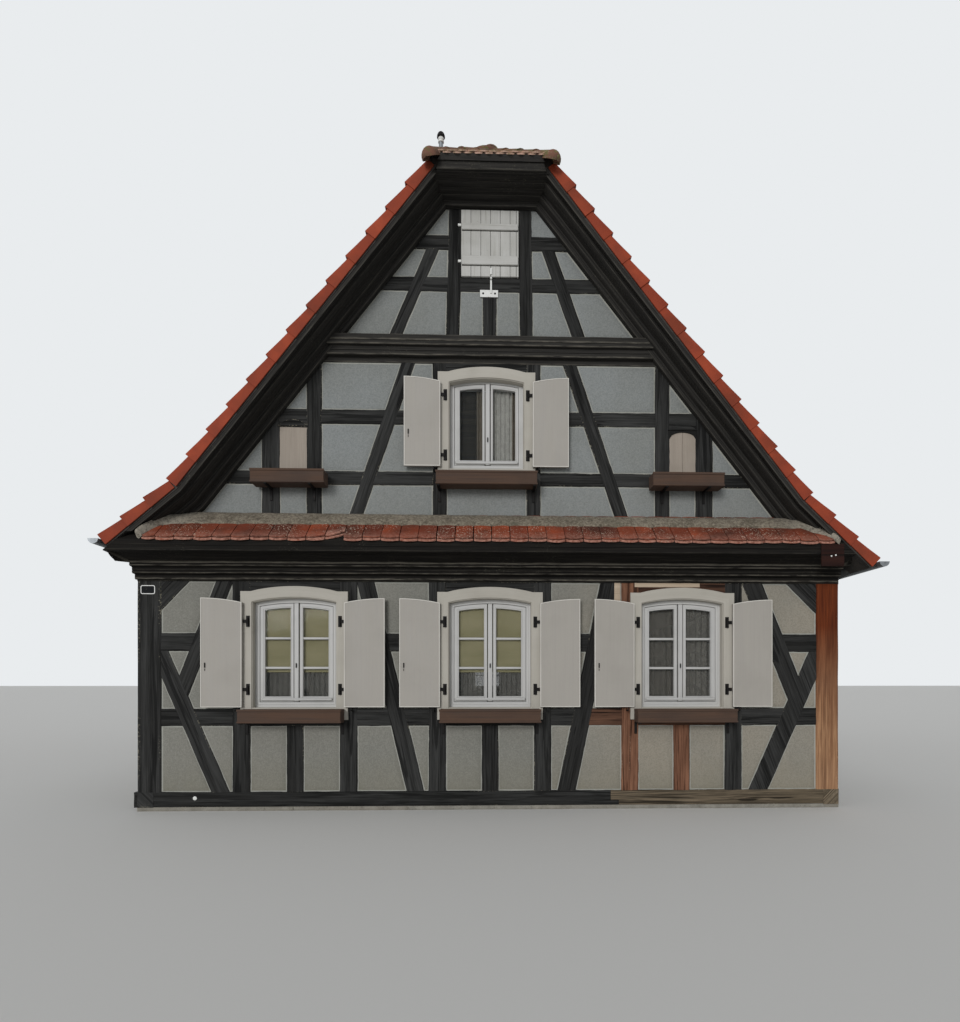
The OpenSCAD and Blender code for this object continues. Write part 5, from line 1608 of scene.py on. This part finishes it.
def top_hatches():
    """The boarded hatch at the top of both gables, with two ledges and a thin painted shadow under each."""
    piece = Piece()
    left, right = HATCH_DOOR
    boards = [left, -0.258, -0.146, -0.036, 0.075, 0.187, 0.258, right]
    for matrix in (placed("front", 0), placed("rear", 0)):
        for a, b in zip(boards, boards[1:]):
            foot = HATCH_Z0 + rng.uniform(0, 0.003)
            block(piece, (a + 0.0015, -0.030, foot), (b - 0.0015, -0.001, HATCH_TOP - 0.001), 0.003, matrix)
        for low, high in ((HATCH_Z0 + 0.125, HATCH_Z0 + 0.225), (HATCH_Z0 + 0.520, HATCH_Z0 + 0.590)):
            a, b = left + 0.008, right - 0.008
            block(piece, (a, -0.050, low), (b, -0.0305, high), 0.004, matrix)
            # A thin dark strip on the boards just under the ledge: a painted shadow.
            block(piece, (a, -0.0306, low - 0.008), (b, -0.0300, low), 0.001, matrix, 1)
    piece.make("attic_hatches_boarded", [HATCH_PAINT, OLD_TIMBER], "surround_paint", ["attic_hatches"])


def small_hatches():
    """Small hatches, the left one a single board, the right one two."""
    piece = Piece()
    for matrix in (placed("front", 0), placed("rear", 0)):
        for a, b in SMALL_HATCHES:
            count = 1 if a < 0 else 2
            wide = (b - a) / count
            for i in range(count):
                x = a + wide * i
                block(piece, (x + 0.001, 0.006, SMALL_Z0), (x + wide - 0.001, 0.034, SMALL_Z1), 0.002, matrix)
    piece.make("small_hatch_boards", [SMALL_HATCH], "surround_paint")


def small_hatch_heads():
    """Dark hoods over the small hatches, and the arched head of the right one."""
    piece = Piece()
    parts, hood_rise, arch_rise = 10, 0.075, 0.085
    hood_rings = [(0, 0.010, 0.7, 0), (0.004, 0.0145, 1, 0), (0.010, 0.016, 0, 0)]
    for wall, facing in (("front", 1), ("rear", -1)):
        matrix = placed(wall, 0)
        for a, b in SMALL_HATCHES:
            middle, wide = (a + b) / 2, (b - a) / 2 + 0.004
            foot, reach = SMALL_Z1 + 0.006, wide + 0.012
            hood = [Vector((facing * (middle + reach * share), foot)) for share in (-1, 1)]
            for i in range(1, parts):
                share = 1 - 2 * i / parts
                x = facing * (middle + reach * share)
                hood.append(Vector((x, foot + hood_rise * (1 - share * share))))
            if facing < 0:
                hood.reverse()
            slab(piece, hood, wall, hood_rings, -0.02, LEVEL)
            if a < 0:
                continue
            outer = [(middle + wide * (2 * i / parts - 1), SMALL_Z1 + 0.0005) for i in range(parts + 1)]
            arch = [(x, SMALL_Z1 - 0.10 + arch_rise * math.sqrt(max(0.0, 1 - ((x - middle) / wide) ** 2)))
                    for x, _ in outer]
            swept(piece, [[matrix @ Vector((x, y, z)) for x, z in outer + arch[::-1]]
                          for y in (-0.004, 0.0055)])
    piece.make("small_hatch_heads", [OLD_TIMBER], "old_timber")


def latch_screws():
    """Dark screws on the latch plate under the top hatch."""
    piece = Piece()
    for x in (-0.12, 0.015):
        place = placed("front", x) @ Matrix.Translation((0, -0.008, UPPER_MID - 0.03))
        lathe(piece, [(0.011, 0), (0.011, 0.003), (0.006, 0.006)], place @ OUTWARDS, 12)
    piece.make("latch_screws", [IRON], "black_iron")


def wall_plates():
    """The bare number plate by the left post, and the small round plate on the sill."""
    piece = Piece()
    x0, x1, z0, z1 = -HALF_W + 0.04, -HALF_W + 0.20, HEAD_Z - 0.15, HEAD_Z - 0.05
    radius = 0.022
    corners = []
    for cx, cz, first in ((x1 - radius, z1 - radius, 0), (x0 + radius, z1 - radius, 90),
                          (x0 + radius, z0 + radius, 180), (x1 - radius, z0 + radius, 270)):
        for i in range(5):
            a = math.radians(first + 22.5 * i)
            corners.append(Vector((cx + radius * math.cos(a), cz + radius * math.sin(a))))
    out = outward(corners, 0.8)
    starts = []
    for inset, y, in ((0, 0.0), (0, -0.0055), (0.001, -0.0065), (0.008, -0.0065), (0.009, -0.0055)):
        starts.append(piece.add([Vector((p.x - o.x * inset, -HALF_L + y, p.y - o.y * inset))
                                 for p, o in zip(corners, out)]))
    size = len(corners)
    for _, _, _, face in bands(starts, size):
        piece.face(face)
    piece.face([starts[-1] + i for i in range(size)], None, 1)
    piece.face([starts[0] + i for i in range(size)][::-1])
    disc = [(0.022, 0), (0.022, 0.005), (0.019, 0.007), (0.006, 0.0065), (0.004, 0.0085)]
    place = placed("front", -HALF_W + 0.64) @ Matrix.Translation((0, 0, SILL_Z - 0.065))
    lathe(piece, disc, place @ OUTWARDS, 24)
    piece.make("wall_plates_enamelled", [WHITE, DARK_ENAMEL], "white_fittings", ["wall_plates"])


def box_boards(piece, half, z, leg, matrix):
    """A box of boards with a rim and a foot strip, on two iron brackets."""
    near, far, wall = BOX_NEAR, BOX_FAR, BOX_WALL
    top = z + BOX_H
    block(piece, (-half, far, z), (half, far + wall, top), 0.004, matrix)
    block(piece, (-half, near - wall, z), (half, near, top), 0.004, matrix)
    for s in (-1, 1):
        a, b = sorted((s * half, s * (half - wall)))
        block(piece, (a, far + wall, z), (b, near - wall, top), 0.003, matrix)
    inside = half - wall
    block(piece, (-inside, far + wall, z + 0.002), (inside, near - wall, z + 0.016), 0.002, matrix)
    rim = half + 0.006
    block(piece, (-rim, far - 0.007, top - 0.022), (rim, far - 0.0005, top + 0.003), 0.003, matrix)
    block(piece, (-rim, far - 0.004, z + 0.004), (rim, far - 0.0005, z + 0.020), 0.002, matrix)
    for x in (-leg, leg):
        a, b, seat = x - 0.015, x + 0.015, z - 0.012
        block(piece, (a, -0.012, z - 0.14), (b, 0.0, seat), 0.002, matrix, 1)
        block(piece, (a, far + 0.005, seat), (b, 0.0, z - 0.0005), 0.002, matrix, 1)


def box_soil(piece, x, half, z, matrix):
    """Bumpy soil that fills a box to just under its rim."""
    columns, rows, deep = 26, 5, Vector((0, 0, 0.09))
    wide, front, back = half - BOX_WALL, BOX_FAR + BOX_WALL, BOX_NEAR - BOX_WALL
    top = []
    for k, i in itertools.product(range(rows + 1), range(columns + 1)):
        px = -wide + 2 * wide * i / columns
        py = front + (back - front) * k / rows
        bump = 0.012 * noise.noise(Vector((px * 9 + x, py * 9, z)))
        top.append(matrix @ Vector((px, py, z + BOX_H - 0.028 + bump)))
    plate(piece, [p - deep for p in top], top, columns, rows)


def flower_boxes():
    """Boarded window boxes with soil under the front's windows and small hatches."""
    boards, soil = Piece(), Piece()
    rows = [(x, 0.56, 0.535, OPEN_Z - 0.165) for x in WINS]
    rows.append((ATTIC_WIN_X, 0.56, 0.535, ATTIC_OPEN_Z - 0.24))
    rows += [((a + b) / 2, 0.40, 0.24, ATTIC_OPEN_Z - 0.24) for a, b in SMALL_HATCHES]
    for x, half, leg, z in rows:
        matrix = placed("front", x)
        box_boards(boards, half, z, leg, matrix)
        box_soil(soil, x, half, z, matrix)
    boards.make("flower_boxes_boarded", [BOX_WOOD, IRON], "box_wood", ["flower_boxes"])
    soil.make("flower_box_soil", [SOIL], "box_wood")


def mast():
    """Short service pipe with a porcelain neck and a dark hood."""
    piece = Piece()
    x = -0.62
    place = Matrix.Translation((x, -HALF_L + 0.3, 0))
    foot, top = roof_z(-1, 0, x) - 0.02, RIDGE_Z
    pipe = [(0.040, foot), (0.040, foot + 0.05), (0.026, foot + 0.09), (0.025, top - 0.10)]
    neck = [(0.027, -0.10), (0.034, -0.095), (0.034, -0.075), (0.029, -0.07), (0.034, -0.065),
            (0.034, -0.045), (0.029, -0.036)]
    hood = [(0.044, -0.040), (0.048, -0.034), (0.046, -0.015), (0.038, 0.008), (0.024, 0.024),
            (0.008, 0.030), (0.003, 0.031)]
    lathe(piece, pipe, place, 24, 0)
    lathe(piece, [(radius, top + up) for radius, up in neck], place, 24, 1)
    lathe(piece, [(radius, top + up) for radius, up in hood], place, 24, 2)
    piece.make("service_mast_hooded", [ZINC, WHITE, IRON], "zinc", ["service_mast"])


def stone(piece, wall, x, size):
    """One rough stone of the footing, from x on along its wall."""
    facing, across, reach = wall_frame(wall)
    proud = rng.uniform(0.001, 0.012)
    high = FOOTING_Z - rng.uniform(0.002, 0.006)
    rings = []
    for share in (0.0, 0.04, 0.2, 0.5, 0.8, 0.96, 1.0):
        edge = proud - (0.004 if share in (0.0, 1.0) else 0.0)
        section = [(-0.1, 0.0), (edge - 0.004, 0.0), (edge, 0.006), (edge, high - 0.008),
                   (edge - 0.006, high), (-0.1, high)]
        at = x + 0.003 + (size - 0.006) * share
        ring = []
        for out, z in section:
            p = across * at + facing * (reach + out) + UP * z
            bump = 0.005 * noise.noise(p * 6) if out > -0.05 else 0.0
            ring.append(p + facing * bump)
        rings.append(ring)
    swept(piece, rings)


def stones():
    """Rough footing stones along the foot of all four walls."""
    piece = Piece()
    for wall in WALLS:
        span = HALF_W if wall in ("front", "rear") else HALF_L
        x = -span
        while x < span - 0.02:
            size = min(rng.uniform(0.28, 0.62), span - x)
            if span - x - size < 0.15:
                size = span - x
            stone(piece, wall, x, size)
            x += size
    piece.make("footing_stones", [STONE], "stone")


def entrance_door():
    """Boarded entrance door of the right side, with its frame and two long hinges."""
    piece = Piece()
    matrix = placed("right", 0)
    half, foot, top = 0.505, SILL_Z, SILL_Z + 2.05
    jamb, gap, count = 0.058, 0.062, 6
    clear = half - jamb
    for s in (-1, 1):
        a, b = sorted((s * half, s * clear))
        block(piece, (a, 0.05, foot), (b, 0.139, top), 0.004, matrix)
    block(piece, (-clear, 0.05, top - jamb), (clear, 0.139, top), 0.004, matrix)
    wide = 2 * (half - gap) / count
    for i in range(count):
        a = gap - half + wide * i
        block(piece, (a + 0.001, 0.066, foot + 0.02), (a + wide - 0.001, 0.109, top - gap), 0.004, matrix)
    block(piece, (-clear, 0.05, foot), (clear, 0.139, foot + 0.02), 0.004, matrix)
    for z in (foot + 0.35, top - 0.45):
        block(piece, (gap - half, 0.060, z), (half - 0.10, 0.0665, z + 0.045), 0.002, matrix, 1)
    block(piece, (half - 0.13, 0.030, foot + 1.0), (half - 0.10, 0.0665, foot + 1.14), 0.006, matrix, 1)
    piece.make("entrance_door_boarded", [DOOR_WOOD, IRON], "door_wood", ["entrance_door"])


def painted(material, *names):
    """Gives CAD nodes whose shape is right a better material."""
    for name in names:
        for slot in nodes[name].material_slots:
            slot.material = material


def door_step():
    """The worn stone step in front of the entrance."""
    piece = Piece()
    low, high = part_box("door_step")
    rings = []
    parts = 14
    for k in range(parts + 1):
        share = k / parts
        y = low.y + (high.y - low.y) * share
        edge = 0.012 if k in (0, parts) else 0.0
        right, top = high.x - edge, high.z - edge / 2
        dip = 0.008 * math.sin(math.pi * share)
        section = [(low.x, low.z), (right, low.z), (right, high.z - 0.018),
                   (right - 0.008, high.z - 0.006 - dip), (high.x - 0.025, top - dip),
                   (high.x - 0.15, top - dip), (low.x, top)]
        ring = [Vector((x, y, z)) for x, z in section]
        rings.append(ring[:2] + shaken(ring[2:-1], 0.004, 4) + [ring[-1]])
    swept(piece, rings)
    piece.make("door_step_worn", [STONE], "stone", ["door_step"])


def stage():
    """A pale floor and plain soft light, before a plain pale backdrop."""
    bpy.context.scene.view_settings.view_transform = "Standard"
    size = 150
    mesh = bpy.data.meshes.new("floor")
    corners = [(-size, -size, 0), (size, -size, 0), (size, size, 0), (-size, size, 0)]
    mesh.from_pydata(corners, [], [(0, 1, 2, 3)])
    mesh.materials.append(Paint("floor").finish(rgb("dcdad6"), 0.9))
    floor = bpy.data.objects.new("floor", mesh)
    bpy.context.scene.collection.objects.link(floor)

    world = bpy.context.scene.world or bpy.data.worlds.new("world")
    bpy.context.scene.world = world
    world.use_nodes = True
    tree = world.node_tree
    tree.nodes.clear()

    def node(kind, *sources, **settings):
        made = tree.nodes.new("ShaderNode" + kind)
        for name, value in settings.items():
            setattr(made, name, value)
        for socket, source in zip(made.inputs, sources):
            tree.links.new(source, socket)
        return made

    rays = node("LightPath").outputs
    seen = node("Math", rays["Is Glossy Ray"], rays["Is Transmission Ray"], operation="MAXIMUM")
    seen = node("Math", rays["Is Camera Ray"], seen.outputs[0], operation="MAXIMUM")
    light, backdrop = node("Background"), node("Background")
    light.inputs["Color"].default_value = rgb("eef2f6")
    light.inputs["Strength"].default_value = 0.5
    backdrop.inputs["Color"].default_value = rgb("e9ecee")
    choice = node("MixShader", seen.outputs[0], light.outputs[0], backdrop.outputs[0])
    node("OutputWorld", choice.outputs[0])

    sun = bpy.data.lights.new("sun", "SUN")
    sun.energy = 1.55
    sun.angle = math.radians(22)
    lamp = bpy.data.objects.new("sun", sun)
    lamp.rotation_euler = (math.radians(75), 0, math.radians(-20))
    bpy.context.scene.collection.objects.link(lamp)


camera()
stage()

# Materials
OLD_TIMBER = wood("old_timber", "151514", "3d3d3c", "080808", "9c9683", "272625", 0.7)
POST_WOOD = wood("post_wood", "7a563d", "b58c69", "4a2e1d", "c79c74", "94745a", 0.35, "a46c50")
STUD_WOOD = wood("stud_wood", "42271b", "8c644e", "1c0f0a", "a98f7a", "5b3d2e", 0.8)
SILL_WOOD = wood("sill_wood", "443c31", "80725f", "1d1812", "a39a88", "635847", 0.9)
MOULDED = moulded_wood("gable_mouldings", "21201f", "3a3835")
# The cornice's moulding paint, darker than the gable mouldings': partly its own dark paint, partly painted
# shade of its overhang.
CORNICE_PAINT_AND_SHADE = moulded_wood("cornice_timber_and_painted_shade", "0f0e0d", "221f1c")
RED_WOOD = wood("red_wood", "1d0e0b", "341c16", "100907", "7d6656", "281511", 0.8)
RAIL_WOOD = wood("rail_wood", "2f1e17", "674a3a", "160d0a", "a08873", "463127", 0.9)
CREAM = coat("filler", "a8957f", "c0ae98", "7d6a55", 0.8, 0.9)
ROUGHCAST = plaster()
PANEL_EDGE = smooth_plaster()
ROOF_TILE = tile_paint("roof_tiles", ("6b3f31", "8a5140", "5d4a40"), "4a3a33", "8f8b78", 0.66, 0.25)
MOSSY_TILE = tile_paint("mossy_tiles", ("927763", "b38c75", "8f8672"), "625b4d", "bab69f", 0.57, 0.75,
                        "d6b09e")
CAP_TILE = tile_paint("cap_tiles", ("6f493a", "855b49", "5f5044"), "443b33", "9ca085", 0.6, 0.45)
NEW_TILE = tile_paint("verge_tiles", ("8a3a23", "a2472c", "7a3424"), "61301f", "a9796a", 0.74, 0.0, rough=0.7)
PENT_TILE = tile_paint("pent_tiles", ("632b1c", "a04a2c", "4f2c21"), "34241d", "cbbca8", 0.585, 0.0, "c08c7a")
MORTAR = mortar_paint()
SURROUND = coat("surround_paint", "a6a196", "b2ada3", "918b80", 0.25, 0.62)
SASH = coat("sash_paint", "b1b0ae", "bfbebb", "9b9a96", 0.2, 0.5)
SHUTTER = coat("shutter_paint", "9c9790", "a19c94", "928d85", 0.15, 0.62)
SHUTTER_RIM = coat("shutter_rim", "c4c0b8", "d2cec6", "a8a39a", 0.2, 0.6)
HATCH_PAINT = coat("hatch_paint", "b2b1ac", "c2c1bd", "8d8a80", 0.6, 0.7, "6f6b5c")
SMALL_HATCH = coat("small_hatch_paint", "91867a", "9f9488", "746a5d", 0.5, 0.7, "6f6b5c")
BOX_WOOD = coat("box_stain", "39291f", "523b2c", "281b14", 0.5, 0.8)
DOOR_WOOD = coat("door_stain", "4d3626", "6b4d36", "352518", 0.5, 0.6)
WHITE = metal_paint("white_enamel", "d2d2ce", "e0e0dc", "a99d8a", 0.0, 0.4)
DARK_ENAMEL = metal_paint("dark_enamel", "0f1012", "1b1d20", "3b3b38", 0.0, 0.5, sheen=0.05)
IRON = metal_paint("black_iron", "0c0b0b", "1a1817", "33251e", 0.02, 0.6, sheen=0.15)
ZINC = metal_paint("zinc", "74777a", "8b8f92", "5f605e", 0.04, 0.45, 0.7)
GLASS = glass_paint()
BLIND = blind_paint()
CURTAIN = curtain_paint()
STONE = stone_paint()
SOIL = soil_paint()
FLOOR_BOARDS = planks("floor_boards", "6a4f36", "96754f")
ROOF_BOARDS = planks("roof_boards", "1f1d1b", "3a3632")
EAVE_WOOD = eave_wood()

# Timber frame, plaster and roof
timbers("gable_sills", OLD_TIMBER, "old_timber", LEVEL)
timbers("side_sills", OLD_TIMBER, "old_timber", LEVEL)
timbers("replaced_sill", SILL_WOOD, "new_timber", LEVEL)
timbers("ground_studs", OLD_TIMBER, "old_timber", STANDING)
timbers("replaced_studs", STUD_WOOD, "new_timber", STANDING)
timbers("ground_rails", OLD_TIMBER, "old_timber", LEVEL)
timbers("replaced_rails", RAIL_WOOD, "new_timber", LEVEL)
filler()
timbers("ground_braces", OLD_TIMBER, "old_timber")
timbers("attic_studs", OLD_TIMBER, "old_timber", STANDING)
timbers("attic_rails", OLD_TIMBER, "old_timber", LEVEL)
timbers("attic_braces", OLD_TIMBER, "old_timber")
panels("ground_panels", "ground_plaster")
panels("attic_panels", "attic_plaster")
posts()
gable_beams()
rakes()
front_cornice()
cornice_end_board()
pent_tiles()
pent_mortar()
roof_boards()
roof_fields()
hip_fields()
ridge_caps()
hip_caps()
verge_tiles()

# Windows, shutters and what hangs behind the panes
FRONT = [
    Window("left_window", "front", WINS[0]),
    Window("middle_window", "front", WINS[1]),
    Window("right_window", "front", WINS[2]),
    Window("attic_window", "front", ATTIC_WIN_X, True),
]
BACK = [Window(f"rear_window_{i + 1}", "rear", x) for i, x in enumerate(WINS)]
BACK.append(Window("rear_attic_window", "rear", ATTIC_WIN_X, True))
SIDES = [Window(f"left_side_window_{i + 1}", "left", y) for i, y in enumerate(SIDE_WINS)]
SIDES += [Window(f"right_side_window_{i + 1}", "right", y) for i, y in enumerate(SIDE_WINS) if y]
ALL_WINDOWS = FRONT + BACK + SIDES
surrounds(ALL_WINDOWS)
window_frames(ALL_WINDOWS)
latches(FRONT)
glazing(ALL_WINDOWS)
moving_shutters(FRONT)
fixed_shutters(BACK + SIDES)
blinds(FRONT[:2])
curtains(ALL_WINDOWS)

# Hatches, boxes and fittings, the footing and the entrance
top_hatches()
small_hatches()
small_hatch_heads()
latch_screws()
wall_plates()
flower_boxes()
mast()
stones()
entrance_door()
door_step()

# Nodes of the frame that keep their shape
painted(STONE, "footing")
painted(FLOOR_BOARDS, "floors")
painted(ROOF_BOARDS, "half_hips")
painted(EAVE_WOOD, "eave_plates")
painted(ZINC, "gutters", "downpipes")
painted(WHITE, "curtain_rods", "hatch_fittings")
painted(IRON, "shutter_pintles", "shutter_stops")
